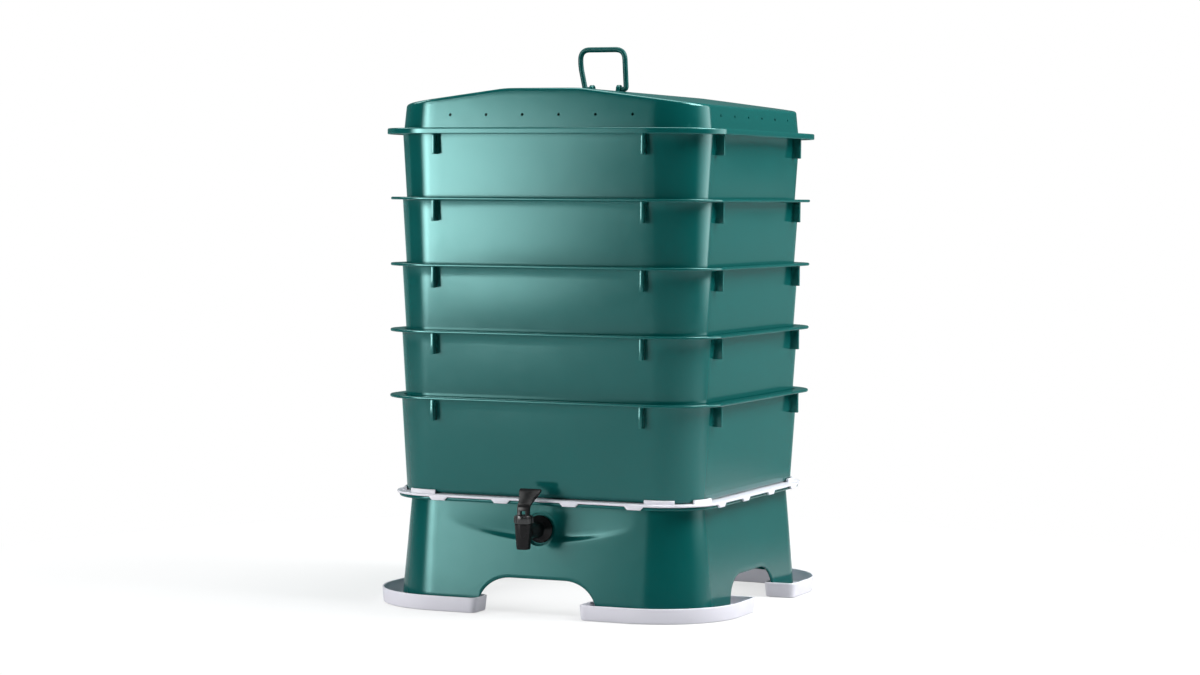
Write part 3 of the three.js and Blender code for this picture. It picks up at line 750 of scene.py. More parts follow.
def makeTrays():
    pattern = makeTray("wormTrayPattern")
    number = 1
    while f"tray_{number}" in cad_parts:
        node = f"tray_{number}"
        tray = copyOf(pattern, f"wormTray{number}")
        moved(tray, z=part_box(node)[0].z)
        finished(tray, "greenPlastic", node, node)
        number += 1
    bpy.data.objects.remove(pattern)
    print("trays made:", number - 1)


makeTrays()


# Lid: walls that end in a low gable roof
lidSizes = {
    "foot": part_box("tray_5")[1].z + seatGap,
    "half": 198 * mm,
    "topHalf": 193 * mm,
    "centre": 143.4 * mm,
    "wall": 2.5 * mm,
    "crest": 49.6 * mm,
    "crestHalf": 48 * mm,
    "fall": 19.5 * mm,
    "crestSoft": 5 * mm,
    "edgeRound": 3.5 * mm,
    "flangeHalf": 218 * mm,
    "lipDrop": 4.5 * mm,
    "lipWall": 2.3 * mm,
    "outerStart": 0.6 * mm,
    "innerStart": 0.5 * mm,
    "ventSink": 2 * mm,
    "vents": 6,
    "ventPitch": 46.8 * mm,
    "ventRadius": 1.75 * mm,
    "ventHeight": 18.1 * mm,
    "lugPlace": 18 * mm,
    "lugThick": 5 * mm,
    "lugHalf": 7 * mm,
    "lugRound": 5.4 * mm,
    "lugEdge": 0.5 * mm,
    "pinHeight": 4.5 * mm,
    "pinHole": 3.6 * mm,
    "sideCuts": 40,
    "cornerCuts": 24,
    "roofRows": 6,
}


def gableHeight(x):
    # flat crest that turns softly into two even slopes down to the eaves
    s = lidSizes
    past = np.abs(x) - s["crestHalf"]
    slope = s["fall"] / (s["half"] - s["crestHalf"])
    soft = s["crestSoft"]
    return s["crest"] - slope * (np.sqrt(past * past + soft * soft) + past) / 2


def lidRings(columns, inset, low, rings):
    # wall rows up to the roof's edge, then rows over the roof to the middle
    s = lidSizes
    lean = (s["half"] - s["topHalf"]) / s["crest"]
    rounding = s["edgeRound"] - inset * 0.5
    wallTop = gableHeight(ringPoints(columns, s["topHalf"] - s["centre"] - inset, 0)[:, 0]) - inset
    reachAt = lambda z: s["half"] - lean * z - s["centre"] - inset
    for share in np.linspace(0, 1, 9):
        z = low + (wallTop - rounding - low) * share
        rings.append(ringPoints(columns, reachAt(z), z))
    edge = reachAt(wallTop - rounding)
    for k in range(1, 7):
        angle = k / 6 * math.pi / 2
        reach = edge - rounding * (1 - math.cos(angle))
        flat = ringPoints(columns, reach, 0)[:, 0]
        z = gableHeight(flat) - inset - rounding * (1 - math.sin(angle))
        rings.append(ringPoints(columns, reach, z))
    for k in range(1, s["roofRows"] + 1):
        reach = (edge - rounding) * (1 - k / s["roofRows"])
        flat = ringPoints(columns, reach, 0)[:, 0]
        rings.append(ringPoints(columns, reach, gableHeight(flat) - inset))


def makeLid():
    s = lidSizes
    centre, wall = s["centre"], s["wall"]
    places = evenPlaces(centre, s["sideCuts"])
    columns = squareColumns(centre, places, s["cornerCuts"])
    flange, base = s["flangeHalf"] - centre, s["half"] - centre
    outer = []
    lidRings(columns, 0, wall + s["outerStart"], outer)
    inner = []
    lidRings(columns, wall, s["innerStart"], inner)
    rim = [
        (base - wall, 0, 0),
        (flange - s["lipWall"], 0, 0.5 * mm),
        (flange - s["lipWall"], -s["lipDrop"], 0.6 * mm),
        (flange, -s["lipDrop"], 0.8 * mm),
        (flange, wall, 1.4 * mm),
        (base, wall, 0.6 * mm),
        (base, wall + s["outerStart"], 0),
    ]
    rim = filleted(rim, 4)
    rings = inner[::-1] + [ringPoints(columns, reach, z) for reach, z in rim[:-1]] + outer
    over = middleGrid(centre, places, lambda x, y: gableHeight(x))
    under = middleGrid(centre, places, lambda x, y: gableHeight(x) - wall)
    shell = ringMesh("lidShell", rings, (over, under))

    drill = drillMesh("ventDrill", s["ventRadius"], 16, "X")
    moved(drill, x=s["half"] - s["ventSink"], z=s["ventHeight"])
    drills = repeated(drill, "ventDrills", "greenPlastic", s["vents"], s["ventPitch"])
    shell = cut(shell, drills)

    hinge = s["crest"] + s["pinHeight"]
    lugs = []
    for side in (-1, 1):
        outline = [(-s["lugHalf"], s["crest"] - wall / 2), (s["lugHalf"], s["crest"] - wall / 2)]
        for k in range(13):
            angle = k / 12 * math.pi
            outline.append((s["lugRound"] * math.cos(angle), hinge + s["lugRound"] * math.sin(angle)))
        lug = plateMesh("lug", outline, s["lugThick"], s["lugEdge"])
        lug.data.transform(Matrix.Rotation(math.pi / 2, 4, "Z"))
        moved(lug, x=side * s["lugPlace"])
        bore = drillMesh("lugBore", s["pinHole"], 24, "X")
        lugs.append(cut(lug, moved(bore, x=side * s["lugPlace"], z=hinge)))
    lid = joined("lidShell", [shell, *lugs])
    moved(lid, z=s["foot"])
    finished(lid, "greenPlastic", "lid", "lid")
    print("lid made")


makeLid()


# Handle: a bent round rod whose ends turn in through the lugs
handleSizes = {
    "radius": 3.25 * mm,
    "rise": 48.7 * mm,
    "leftTop": 33.7 * mm,
    "rightTop": 24.7 * mm,
    "foot": 27.35 * mm,
    "pinEnd": 15.6 * mm,
    "knee": 29 * mm,
    "bends": (4 * mm, 7 * mm, 12 * mm, 12 * mm, 4 * mm),
    "sides": 20,
    "step": 1.2 * mm,
}


def bentLine(corners, bends, step):
    # straight runs joined by curved bends, as closely spaced points
    line = [corners[0]]
    for i in range(1, len(corners) - 1):
        here, bend = corners[i], bends[i - 1]
        before = here + (corners[i - 1] - here).normalized() * bend
        after = here + (corners[i + 1] - here).normalized() * bend
        for k in range(11):
            t = k / 10
            line.append(before * (1 - t) ** 2 + here * (2 * t * (1 - t)) + after * t * t)
    line.append(corners[-1])
    full = [line[0]]
    for point in line[1:]:
        gap = (point - full[-1]).length
        if gap < step / 3:
            continue
        steps = max(1, int(gap / step))
        start = full[-1]
        full += [start.lerp(point, (k + 1) / steps) for k in range(steps)]
    return full


def rodMesh(name, line, radius, sides):
    rings = []
    normal = Vector((0, 1, 0))
    for i, point in enumerate(line):
        along = (line[min(i + 1, len(line) - 1)] - line[max(i - 1, 0)]).normalized()
        other = along.cross(normal).normalized()
        ends = min(i, len(line) - 1 - i)
        size = radius * (0.75, 0.94, 1.0)[min(ends, 2)]
        angle = np.arange(sides) / sides * 2 * math.pi
        ring = [point + (normal * math.cos(a) + other * math.sin(a)) * size for a in angle]
        rings.append(np.array([tuple(p) for p in ring]))
    tips = [np.repeat(np.array([tuple(p)]), sides, 0) for p in (line[0], line[-1])]
    return ringMesh(name, [tips[0], *rings, tips[1]])


def makeHandle():
    s = handleSizes
    corners = [
        Vector((-s["pinEnd"], 0, 0)),
        Vector((-s["foot"], 0, 0)),
        Vector((-s["leftTop"], 0, s["knee"])),
        Vector((-s["leftTop"], 0, s["rise"])),
        Vector((s["rightTop"], 0, s["rise"])),
        Vector((s["foot"], 0, 0)),
        Vector((s["pinEnd"], 0, 0)),
    ]
    rod = rodMesh("lidBail", bentLine(corners, s["bends"], s["step"]), s["radius"], s["sides"])
    moved(rod, z=lidSizes["foot"] + lidSizes["crest"] + lidSizes["pinHeight"])
    finished(rod, "rodPlastic", "lid_handle", "lid_handle")
    print("handle made")


makeHandle()


# Stand with its basin, arches and the pocket in its front
standLow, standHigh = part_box("stand")
standSizes = {
    "foot": standLow.z,
    "height": standHigh.z - standLow.z,
    "half": 199.7 * mm,
    "neckHalf": 188.4 * mm,
    "centre": 137 * mm,
    "wall": 3 * mm,
    "flangeHalf": (standHigh.x - standLow.x) / 2,
    "flangeThick": 4 * mm,
    "basinLow": 83.7 * mm,
    "basinRise": 18.5 * mm,
    "basinFall": 7 * mm,
    "archHalf": 77 * mm,
    "archFlat": 35 * mm,
    "archHeight": 37.7 * mm,
    "pocketHalf": 122 * mm,
    "pocketDepth": 3.0 * mm,
    "pocketTop": 0.8 * mm,
    "pocketLift": 1.5 * mm,
    "pocketSoft": 9 * mm,
    "pocketInside": 2.7 * mm,
    "footRound": 1.3 * mm,
    "lipDrop": 4 * mm,
    "floorRound": 1 * mm,
    "floorInset": 2 * mm,
    "neckDrop": 1 * mm,
    "neckRound": 0.8 * mm,
    "tapHeight": 96.8 * mm,
    "seatRadius": 18.5 * mm,
    "seatInset": 1.7 * mm,
    "seatRim": (1.2 * mm, -3.5 * mm),
    "seatMouth": (6 * mm, -30 * mm),
    "bossThick": 4.1 * mm,
    "bossSink": 2 * mm,
    "holeRadius": 7.95 * mm,
    "archCuts": 44,
    "sideCuts": 16,
    "cornerCuts": 24,
}


def standHalfAt(z):
    s = standSizes
    return s["half"] + (s["neckHalf"] - s["half"]) * z / (s["height"] - s["flangeThick"])


def basinFloor(x, y):
    s = standSizes
    share = np.minimum(1, np.abs(x) / s["pocketHalf"])
    fall = s["basinFall"] / (2 * s["half"])
    return s["basinLow"] + s["basinRise"] * share**2 + fall * (y + s["half"])


def softStep(t):
    t = np.clip(t, 0, 1)
    return t * t * (3 - 2 * t)


def standColumns():
    s = standSizes
    turns = np.linspace(-math.pi / 2, math.pi / 2, s["archCuts"] + 1)
    arch = [s["archHalf"] * math.sin(turn) for turn in turns]
    side = list(np.linspace(-s["centre"], -s["archHalf"], s["sideCuts"] + 1)[1:-1])
    places = side + arch + [-u for u in reversed(side)]
    return places, squareColumns(s["centre"], places, s["cornerCuts"])


def pocketPush(x, y, z):
    # how far the front wall is pressed in at a point
    s = standSizes
    neck = s["height"] - s["flangeThick"]
    share = np.clip(np.abs(x) / s["pocketHalf"], 0, 1)
    fade = (1 - share**2) ** 1.5 * (y < -s["centre"])
    crease = s["basinLow"] + s["basinRise"] * share**2 + s["pocketLift"]
    low = s["basinLow"] + s["pocketLift"]
    deep = s["pocketTop"] + (s["pocketDepth"] - s["pocketTop"]) * (neck - z) / (neck - low)
    return deep * fade * softStep((z - crease + s["pocketSoft"] / 2) / s["pocketSoft"])


def makeStand():
    s = standSizes
    centre, wall = s["centre"], s["wall"]
    neck = s["height"] - s["flangeThick"]
    places, columns = standColumns()
    isSide = columns[:, 5] == 0
    along = np.where(isSide, columns[:, 6], centre)
    past = np.clip((np.abs(along) - s["archFlat"]) / (s["archHalf"] - s["archFlat"]), 0, 1)
    footZ = np.where(np.abs(along) < s["archHalf"], s["archHeight"] * np.sqrt(1 - past**2), 0)
    spot = ringPoints(columns, s["neckHalf"] - centre, 0)
    across = np.clip(spot[:, 0], -s["pocketHalf"], s["pocketHalf"])
    crease = basinFloor(across, -s["half"]) + s["pocketLift"]

    def wallRing(z, inset=0.0, pressed=True):
        reach = standHalfAt(z) - centre - inset
        if pressed:
            reach = reach - pocketPush(spot[:, 0], spot[:, 1], z)
        return ringPoints(columns, reach, z)

    def floorRing(reach, drop=0.0):
        flat = ringPoints(columns, reach, 0)
        return ringPoints(columns, reach, basinFloor(flat[:, 0], flat[:, 1]) - drop)

    edge = s["footRound"]
    rings = []
    underEdge = basinFloor(spot[:, 0], spot[:, 1]) - wall
    fullReach = standHalfAt(underEdge) - centre - wall
    for share in np.linspace(0, 1, 6):
        rings.append(floorRing(fullReach * share, wall))
    for share in shares(10):
        z = underEdge + (footZ + edge - underEdge) * share
        rings.append(ringPoints(columns, standHalfAt(z) - centre - wall, z))
    for k in range(1, 7):
        angle = k / 6 * math.pi
        z = footZ + edge * (1 - math.sin(angle))
        inset = wall / 2 + wall / 2 * math.cos(angle)
        rings.append(ringPoints(columns, standHalfAt(z) - centre - inset, z))
    soft = s["pocketSoft"]
    for share in shares(14):
        rings.append(wallRing(footZ + edge + (crease - soft / 2 - footZ - edge) * share))
    for share in shares(9):
        rings.append(wallRing(crease - soft / 2 + soft * share))
    for share in shares(10):
        rings.append(wallRing(crease + soft / 2 + (neck - s["neckDrop"] - crease - soft / 2) * share))
    flange = s["flangeHalf"] - centre
    top = [
        (s["neckHalf"] - centre, neck - s["neckDrop"], 0),
        (s["neckHalf"] - centre + s["neckRound"], neck, 0),
        (flange, neck, 1.5 * mm),
        (flange, s["height"], 1.5 * mm),
        (s["neckHalf"] - wall - centre, s["height"], 1 * mm),
        (s["neckHalf"] - wall - centre, neck - s["lipDrop"], 0),
    ]
    top = filleted(top)
    for reach, z in top[1:]:
        rings.append(ringPoints(columns, reach, z))
    inside = s["neckHalf"] - wall - centre
    floorEdge = basinFloor(spot[:, 0], spot[:, 1])
    hollow = 1 - np.clip(np.abs(spot[:, 0]) / s["pocketHalf"], 0, 1) ** 2
    push = s["pocketInside"] * (spot[:, 1] < -centre) * hollow
    for share in shares(6):
        z = neck - s["lipDrop"] + (floorEdge + s["floorRound"] - neck + s["lipDrop"]) * share
        rings.append(ringPoints(columns, inside - push * share, z))
    for share in shares(7):
        rings.append(floorRing((inside - push - s["floorInset"]) * (1 - share)))
    over = middleGrid(centre, places, basinFloor)
    under = middleGrid(centre, places, lambda x, y: basinFloor(x, y) - wall)
    shell = ringMesh("standShell", rings, (over, under))

    seatY = -s["neckHalf"] + s["seatInset"]
    tap = s["tapHeight"]
    radius = s["seatRadius"]
    boss = drillMesh("boss", radius + wall, 64, "Y", 0, -s["bossThick"] - s["bossSink"])
    shell = cut(shell, moved(boss, y=seatY + s["bossThick"], z=tap), "UNION")
    rim, mouth = ((radius + wider, out) for wider, out in (s["seatRim"], s["seatMouth"]))
    bowl = turnedMesh("seat", [(0, 0), (radius, 0), rim, mouth, (0, mouth[1])], 64, "Y")
    shell = cut(shell, moved(bowl, y=seatY, z=tap))
    bore = drillMesh("bore", s["holeRadius"], 48, "Y")
    shell = cut(shell, moved(bore, y=seatY, z=tap))
    moved(shell, z=s["foot"])
    finished(shell, "standPlastic", "stand", "stand")
    print("stand made")


makeStand()


# Filter panel with its clips and guides
panelSizes = {
    "foot": standHigh.z + seatGap,
    "thick": 2.6 * mm,
    "half": 206.5 * mm,
    "centre": 137 * mm,
    "tiles": 26,
    "holeRadius": 2.4 * mm,
    "edgeRound": 0.9 * mm,
    "clipInside": 203.8 * mm,
    "clipDrop": 4 * mm,
    "clipWidth": 25 * mm,
    "clipTaper": 0.7,
    "clipRound": 0.8 * mm,
    "clipPlaces": (44 * mm, 126 * mm),
    "guideHalf": 193 * mm,
    "guideThick": 3 * mm,
    "guideRise": 4.6 * mm,
    "guidePlace": 152 * mm,
    "guideWidth": 34 * mm,
    "cornerCuts": 24,
}


def guideMesh(name, flip):
    # a low wall that follows the tray's foot round the start of its corner
    s = panelSizes
    centre = traySizes["centre"]
    radius = s["guideHalf"] - centre
    line = []
    start, end = (s["guidePlace"] + side * s["guideWidth"] / 2 for side in (-1, 1))
    for y in np.linspace(start, end, 15):
        past = max(0.0, y - centre)
        angle = math.asin(min(1.0, past / radius))
        line.append((y if past == 0 else centre, angle))
    outer, low, top = radius + s["guideThick"], s["thick"] / 2, s["thick"] + s["guideRise"]
    section = (
        (radius, low),
        (outer, low),
        (outer, top - 0.8 * mm),
        (outer - 0.8 * mm, top),
        (radius + 0.6 * mm, top),
        (radius, top - 0.6 * mm),
    )
    rings = []
    for y, angle in line:
        c, d = math.cos(angle), math.sin(angle)
        rings.append(np.array([(centre + c * reach, y + d * reach, z) for reach, z in section]))
    return capped(ringMesh(name, rings), flip)


def makePanel():
    s = panelSizes
    centre = s["centre"]
    tile = 2 * centre / s["tiles"]
    columns = squareColumns(centre, evenPlaces(centre, s["tiles"]), s["cornerCuts"])
    edge = s["half"] - centre
    thick, rounding = s["thick"], s["edgeRound"]
    profile = [(0, 0, 0), (edge, 0, rounding), (edge, thick, rounding), (0, thick, 0)]
    profile = filleted(profile, 4)
    rim = ringMesh("panelRim", [ringPoints(columns, reach, z) for reach, z in profile])
    plate = tileMesh("panelTile", tile, s["holeRadius"], 8, 0, thick)
    plate = tiled(plate, "panelPlate", "whitePlastic", s["tiles"], tile)
    body = tidyMesh(joined("panelBody", [rim, plate]))
    outline = rectangle(s["clipInside"], -s["clipDrop"], s["half"], thick / 2)
    clips = []
    for place in s["clipPlaces"]:
        clip = plateMesh("clip", outline, s["clipWidth"], s["clipRound"])
        for vertex in clip.data.vertices:
            if vertex.co.z < 0:
                vertex.co.y *= s["clipTaper"]
        clips.append(repeated(clip, "clips", "whitePlastic", 2, 2 * place))
    guides = joined("guides", [guideMesh("guideA", False), guideMesh("guideB", True)])
    guides = repeated(guides, "guides", "whitePlastic")
    panel = joined("filterPanel", [body, *clips, guides])
    moved(panel, z=s["foot"])
    finished(panel, "whitePlastic", "filter_panel", "filter_panel")
    print("filter panel made")


makePanel()


# Ant trays: an open trough round each leg
moatSizes = {
    "half": 228.7 * mm,
    "corner": 105 * mm,
    "width": 40.5 * mm,
    "armEnd": 66 * mm,
    "height": 18 * mm,
    "flare": 1.5 * mm,
    "wall": 2.5 * mm,
    "endRadius": 8 * mm,
    "underReach": 3.2 * mm,
    "floorReach": 2.2 * mm,
    "cornerCuts": 28,
    "endCuts": 6,
}


def moatLoop(inset, z):
    s = moatSizes
    lean = s["flare"] * (1 - z / s["height"])
    outer = s["half"] - inset - lean
    inner = s["half"] - s["width"] + inset + lean
    arm = s["armEnd"] + inset + lean
    centre = s["half"] - s["corner"]
    end = s["endRadius"] - inset
    loop = []

    def arc(cx, cy, radius, start, stop, cuts):
        for k in range(cuts + 1):
            angle = start + (stop - start) * k / cuts
            loop.append((cx + radius * math.cos(angle), cy + radius * math.sin(angle), z))

    quarter = math.pi / 2
    arc(centre, centre, outer - centre, 0, quarter, s["cornerCuts"])
    arc(arm + end, outer - end, end, quarter, 2 * quarter, s["endCuts"])
    arc(arm + end, inner + end, end, 2 * quarter, 3 * quarter, s["endCuts"])
    arc(centre, centre, inner - centre, quarter, 0, s["cornerCuts"])
    arc(inner + end, arm + end, end, 2 * quarter, 3 * quarter, s["endCuts"])
    arc(outer - end, arm + end, end, 3 * quarter, 4 * quarter, s["endCuts"])
    return np.array(loop)


def makeMoats():
    s = moatSizes
    wall = s["wall"]
    profile = [
        (s["underReach"], 0, 0),
        (0, 0, 1.4 * mm),
        (0, s["height"], 1.1 * mm),
        (wall, s["height"], 1.1 * mm),
        (wall, wall, 1.6 * mm),
        (wall + s["floorReach"], wall, 0),
    ]
    profile = filleted(profile)
    rings = [moatLoop(inset, z) for inset, z in profile]
    pattern = capped(ringMesh("moatPattern", rings), split=True)
    for quarter, corner in enumerate(("back_right", "back_left", "front_left", "front_right")):
        words = corner.split("_")
        moat = copyOf(pattern, "antMoat" + words[0].title() + words[1].title())
        moat.data.transform(Matrix.Rotation(quarter * math.pi / 2, 4, "Z"))
        finished(moat, "whitePlastic", "ant_trays", "ant_tray_" + corner)
    bpy.data.objects.remove(pattern)
    print("ant trays made")


makeMoats()


# Tap, built about the point where its barrel meets its shank
tapSizes = {
    "reach": 236 * mm,
    "height": standSizes["foot"] + standSizes["tapHeight"],
    "flangeFront": 44 * mm,
    "flangeThick": 3.5 * mm,
    "flangeRadius": 16.4 * mm,
    "neckRadius": 8.6 * mm,
    "shankRadius": 7.6 * mm,
    "shankEnd": 66 * mm,
    "inletRadius": 4.5 * mm,
    "barrelTop": 10.8 * mm,
    "barrelTopRadius": 10.8 * mm,
    "barrelLow": 19.1 * mm,
    "barrelLowRadius": 8 * mm,
    "spoutRadius": 5 * mm,
    "chamberRadius": 7.5 * mm,
    "seatDrop": 6.6 * mm,
    "collarFoot": 11.1 * mm,
    "collarHeight": 9.8 * mm,
    "collarRadius": 11.5 * mm,
    "collarFloor": 0.78 * mm,
    "spigotRadius": 7.15 * mm,
    "spigotDrop": 5 * mm,
    "stemHole": 2.75 * mm,
    "flutes": 18,
    "fluteDepth": 0.7 * mm,
    "fluteWidth": 2 * mm,
    "fluteRound": 0.45 * mm,
    "fluteSink": 0.4 * mm,
    "pinWall": 0.45 * mm,
    "leverAir": 1.2 * mm,
    "pinLine": 18.2 * mm,
    "pinHole": 1.55 * mm,
    "leverHalf": 7.65 * mm,
    "leverThick": 5 * mm,
    "leverRound": 1.1 * mm,
    "leverNeck": 13.3 * mm,
    "paddleHalf": 13.7 * mm,
    "paddleEnd": (20.2 * mm, 31 * mm),
    "bendRadius": 7 * mm,
    "forkHalf": 3.1 * mm,
    "forkLow": -9 * mm,
    "forkTop": 7.5 * mm,
    "forkRound": 0.2 * mm,
    "bend": math.radians(49),
    "threads": 7,
    "threadDepth": 0.7 * mm,
    "threadGap": 6 * mm,
    "shankStart": 8.2 * mm,
    "inletDepth": 20 * mm,
}


def atTap(obj):
    return moved(obj, y=-tapSizes["reach"], z=tapSizes["height"])


def makeTapBody():
    s = tapSizes
    barrel = [
        (s["spoutRadius"], -s["seatDrop"], 0),
        (s["spoutRadius"], -s["barrelLow"], 0.6 * mm),
        (s["barrelLowRadius"], -s["barrelLow"], 0.8 * mm),
        (s["barrelTopRadius"], s["barrelTop"], 0.8 * mm),
        (s["chamberRadius"], s["barrelTop"], 0.4 * mm),
        (s["chamberRadius"], -s["seatDrop"], 0.3 * mm),
        (s["spoutRadius"], -s["seatDrop"], 0),
    ]
    barrel = filleted(barrel)
    barrel = turnedMesh("tapBarrel", barrel, 64)
    flange = s["flangeFront"]
    shank = [
        (0, s["shankStart"], 0),
        (s["neckRadius"], s["shankStart"], 0),
        (s["neckRadius"], flange - 5 * mm, 4 * mm),
        (s["flangeRadius"] - 2.5 * mm, flange - 0.4 * mm, 1.5 * mm),
        (s["flangeRadius"], flange + 1.2 * mm, 1.0 * mm),
        (s["flangeRadius"], flange + s["flangeThick"], 0.5 * mm),
        (s["shankRadius"], flange + s["flangeThick"], 0),
    ]
    shank = filleted(shank)
    # the thread is a row of ridges on the part of the shank inside the basin
    threadStart, threadEnd = flange + s["flangeThick"] + s["threadGap"], s["shankEnd"] - 1 * mm
    pitch = (threadEnd - threadStart) / s["threads"]
    shank.append((s["shankRadius"], threadStart))
    for k in range(s["threads"]):
        shank.append((s["shankRadius"] - s["threadDepth"], threadStart + (k + 0.5) * pitch))
        shank.append((s["shankRadius"], threadStart + (k + 1) * pitch))
    inletEnd = s["shankEnd"] - s["inletDepth"]
    shank += [(s["inletRadius"], s["shankEnd"]), (s["inletRadius"], inletEnd), (0, inletEnd)]
    shank = turnedMesh("tapShank", shank, 64, "Y")
    body = atTap(joined("tapBody", [barrel, shank]))
    finished(body, "blackPlastic", "stand", "tap_body")


def makeTapCollar():
    s = tapSizes
    foot, top = s["collarFoot"], s["collarFoot"] + s["collarHeight"]
    radius = s["collarRadius"] - s["fluteDepth"]
    cup, spigotEnd = s["leverHalf"] + s["leverAir"], foot - s["spigotDrop"]
    # a cup on a spigot that enters the barrel, with a hole down its middle for the stem
    ring = [
        (s["stemHole"], spigotEnd, 0),
        (s["spigotRadius"], spigotEnd, 0.5 * mm),
        (s["spigotRadius"], foot, 0),
        (radius, foot, 0.5 * mm),
        (radius, top, 0.9 * mm),
        (cup, top, 0.5 * mm),
        (cup, foot + s["collarFloor"], 0),
        (s["stemHole"], foot + s["collarFloor"], 0),
        (s["stemHole"], spigotEnd, 0),
    ]
    ring = filleted(ring)
    ring = turnedMesh("collarRing", ring, 72)
    # the pin's ends sit in two blind holes in the collar's wall
    reach, root = radius - s["pinWall"], radius - s["fluteSink"]
    bore = drillMesh("collarBore", s["pinHole"], 24, "X", -reach, reach)
    ring = cut(ring, moved(bore, z=s["pinLine"]))
    outline = [
        (root, foot + 0.65 * mm),
        (s["collarRadius"], foot + 1.1 * mm),
        (s["collarRadius"], top - 1.4 * mm),
        (root, top - 0.82 * mm),
    ]
    flute = plateMesh("flute", outline, s["fluteWidth"], s["fluteRound"])
    flute = repeated(flute, "flutes", "polishedBlack", turns=s["flutes"])
    collar = atTap(joined("tapCollar", [ring, flute]))
    finished(collar, "polishedBlack", "stand", "tap_collar")


def makeTapLever():
    s = tapSizes
    pin, neck = s["pinLine"], s["leverNeck"]
    # stations along the lever: the place (y, z), its lean, and shares of width and thickness
    lean, bend = s["bend"], s["bendRadius"]
    stations = [
        (0, -3.0 * mm, 0, 0.93, 0.6),
        (0, -2.2 * mm, 0, 1, 1.05),
        (0, 0, 0, 1, 1.15),
        (0, 3.5 * mm, 0, 1, 1.0),
        (0, neck * 0.6, 0, 1, 0.97),
    ]
    for k in range(7):
        turn = lean * k / 6
        y, z = bend * (1 - math.cos(turn)), neck - 4 * mm + bend * math.sin(turn)
        stations.append((y, z, turn, 1 + 0.06 * k / 6, 0.95 - 0.1 * k / 6))
    (startY, startZ), (endY, endZ) = stations[-1][:2], s["paddleEnd"]
    flare = s["paddleHalf"] / s["leverHalf"]
    for share in (0.15, 0.35, 0.55, 0.75, 0.93, 0.985, 1.0):
        y, z = startY + (endY - startY) * share, startZ + (endZ - startZ) * share
        grow = 1.06 + (flare - 1.06) * softStep(share * 1.05)
        thin = 0.8 if share < 0.98 else (0.66 if share < 1 else 0.4)
        stations.append((y, z, lean, float(grow), thin))
    rings = []
    for y, z, turn, wide, thick in stations:
        half, deep = s["leverHalf"] * wide, s["leverThick"] / 2 * thick
        corner = min(s["leverRound"], deep * 0.8)
        ring = []
        for cx, cy, start in ((1, 1, 0), (-1, 1, 1), (-1, -1, 2), (1, -1, 3)):
            for k in range(4):
                angle = (start + k / 3) * math.pi / 2
                px = cx * (half - corner) + corner * math.cos(angle)
                py = cy * (deep - corner) + corner * math.sin(angle)
                ring.append((px, y + py * math.cos(turn), pin + z - py * math.sin(turn)))
        rings.append(np.array(ring))
    lever = capped(ringMesh("tapLever", rings))
    outline = rectangle(-s["forkHalf"], s["forkLow"], s["forkHalf"], s["forkTop"])
    lever = cut(lever, moved(plateMesh("slit", outline, drillReach, s["forkRound"]), z=pin))
    bore = drillMesh("pinBore", s["pinHole"], 24, "X")
    lever = cut(lever, moved(bore, z=pin))
    finished(atTap(lever), "blackPlastic", "tap_lever", "tap_lever")


def makeTap():
    makeTapBody()
    makeTapCollar()
    makeTapLever()
    kept = (
        ("tap_lever_pin", "blackPlastic"),
        ("tap_stem", "blackPlastic"),
        ("tap_nut", "blackPlastic"),
        ("tap_outer_washer", "blackRubber"),
        ("tap_inner_washer", "blackRubber"),
        ("tap_seal", "milkySilicone"),
    )
    for node, finish in kept:
        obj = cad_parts[node]
        for place in obj.material_slots:
            place.material = finishes[finish]
    print("tap made")


makeTap()


# Studio: soft boxes stand round the object, and the floor fades to white away from it
studioSizes = {
    "worldFront": 0.05,
    "worldBack": 0.19,
    "worldTint": (0.5, 1.0, 0.97),
    "worldTurn": (-0.2, 0.4),  # part of the sky over which its front turns into its back
    "aimTop": 0.58,
    "floorHalf": 14.0,
    "floorColour": (0.86, 0.86, 0.87),
    "floorBounce": (0.48, 0.48, 0.49),
    "floorBehind": (0.26, 0.42, 0.41),
    "floorLift": 0.62,
    "floorDrop": 0.5 * mm,
    "behind": (0.4, 1.2),  # distances over which the floor behind takes its own colour
    "fade": (0.32, 0.95),  # distances over which the shadow fades into the white
}

softBoxes = {
    # name: (azimuth, distance, height of its middle, width, height, brightness)
    "keyLeft": (-34.0, 2.65, 0.58, 1.75, 1.14, 18.5),
    "leftHigh": (-80, 1.8, 1.9, 1.2, 1.2, 5.0),
    "rightWall": (111, 2.2, 0.9, 2.2, 1.7, 3.2),
    "rightHigh": (96, 1.7, 1.9, 1.4, 1.4, 13.0),
}
softEdges = {  # shares of a box over which it fades in from its left, right and lower edge
    "keyLeft": (0.6, 0.66, 0.05),
    "rightWall": (0.9, 0.04, 0.1),
}
# boxes that face down: place on Y, height, side, brightness
# the low one stands in for the light that a white floor throws in through the arches
downBoxes = {
    "topBox": (0.2, 2.4, 1.6, 4.2),
    "underBasin": (0.0, 0.074, 0.3, 1.3),
}


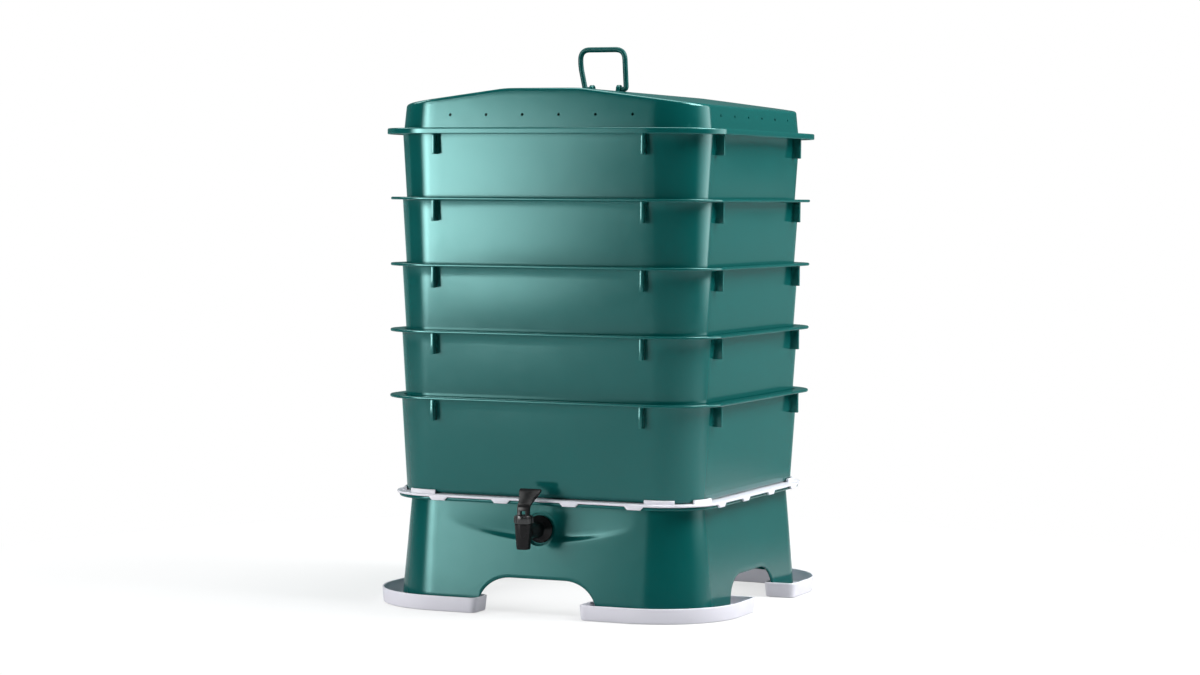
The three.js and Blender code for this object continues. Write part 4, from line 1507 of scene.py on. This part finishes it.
def addSoftBox(name, place, aim, wide, high, brightness):
    data = bpy.data.lights.new(name, "AREA")
    data.shape = "RECTANGLE"
    data.size, data.size_y = wide, high
    data.energy = brightness * math.pi * wide * high
    lamp = linked(name, data)
    lamp.location = place
    lamp.rotation_euler = (Vector(place) - Vector(aim)).to_track_quat("Z", "Y").to_euler()
    if name not in softEdges:
        return
    data.use_nodes = True
    tree = data.node_tree
    across = partsOf(tree, tree.nodes.new("ShaderNodeNewGeometry").outputs["Parametric"])
    left, right, lower = softEdges[name]
    strength = None
    for axis, start, end in (("X", 0.0, left), ("X", 1.0, 1 - right), ("Y", 0.0, lower)):
        ramp = rangeNode(tree, across[axis], start, end)
        ramp.node.interpolation_type = "SMOOTHSTEP"
        strength = mathNode(tree, "MULTIPLY", strength, ramp) if strength else ramp
    feed(tree, tree.nodes["Emission"].inputs["Strength"], strength)


def makeWorld():
    # white to the camera, and darker in front of the object than behind it to all else
    s = studioSizes
    world = bpy.data.worlds.new("studio")
    world.use_nodes = True
    bpy.context.scene.world = world
    tree = world.node_tree
    seen = tree.nodes.new("ShaderNodeLightPath").outputs["Is Camera Ray"]
    way = partsOf(tree, tree.nodes.new("ShaderNodeTexCoord").outputs["Generated"])
    room = rangeNode(tree, way["Y"], *s["worldTurn"], s["worldFront"], s["worldBack"])
    back = tree.nodes["Background"].inputs
    feed(tree, back["Color"], blendColour(tree, seen, s["worldTint"], (1, 1, 1)))
    feed(tree, back["Strength"], rangeNode(tree, seen, 0.0, 1.0, room, 1.0))


def makeFloor():
    # pale with a soft shadow to the camera, duller to all other rays, and greenish far behind
    s = studioSizes
    half = s["floorHalf"]
    corners = [(-half, -half, 0), (half, -half, 0), (half, half, 0), (-half, half, 0)]
    floor = moved(meshObject("studioFloor", corners, [(0, 1, 2, 3)]), z=-s["floorDrop"])
    material = bpy.data.materials.new("studioFloor")
    material.use_nodes = True
    tree = material.node_tree
    seen = tree.nodes.new("ShaderNodeLightPath").outputs["Is Camera Ray"]
    where = tree.nodes.new("ShaderNodeTexCoord").outputs["Object"]
    reach = addNode(tree, "ShaderNodeVectorMath", {0: where}, operation="LENGTH")
    behind = rangeNode(tree, partsOf(tree, where)["Y"], *s["behind"])
    fade = rangeNode(tree, reach.outputs["Value"], *s["fade"], s["floorLift"], 1.0)
    shader = tree.nodes["Principled BSDF"]
    colour = blendColour(tree, seen, s["floorBounce"], s["floorColour"])
    looks = {"Base Color": colour, "Roughness": 0.9, "Specular IOR Level": 0.1}
    for label, value in looks.items():
        feed(tree, shader.inputs[label], value)
    glow = {"Color": blendColour(tree, seen, s["floorBehind"], (1, 1, 1))}
    glow = addNode(tree, "ShaderNodeEmission", glow).outputs[0]
    share = rangeNode(tree, seen, 0.0, 1.0, behind, fade)
    mix = addNode(tree, "ShaderNodeMixShader", {0: share, 1: shader.outputs[0], 2: glow})
    feed(tree, tree.nodes["Material Output"].inputs["Surface"], mix.outputs[0])
    floor.data.materials.append(material)


def makeStudio():
    bpy.context.scene.view_settings.view_transform = "Standard"
    makeWorld()
    makeFloor()
    for name, (azimuth, distance, height, wide, high, brightness) in softBoxes.items():
        angle = math.radians(azimuth)
        place = (distance * math.sin(angle), -distance * math.cos(angle), height)
        aim = (0, 0, min(height, studioSizes["aimTop"]))
        addSoftBox(name, place, aim, wide, high, brightness)
    for name, (onY, height, side, brightness) in downBoxes.items():
        addSoftBox(name, (0, onY, height), (0, onY, 0), side, side, brightness)
    print("studio ready")


makeStudio()
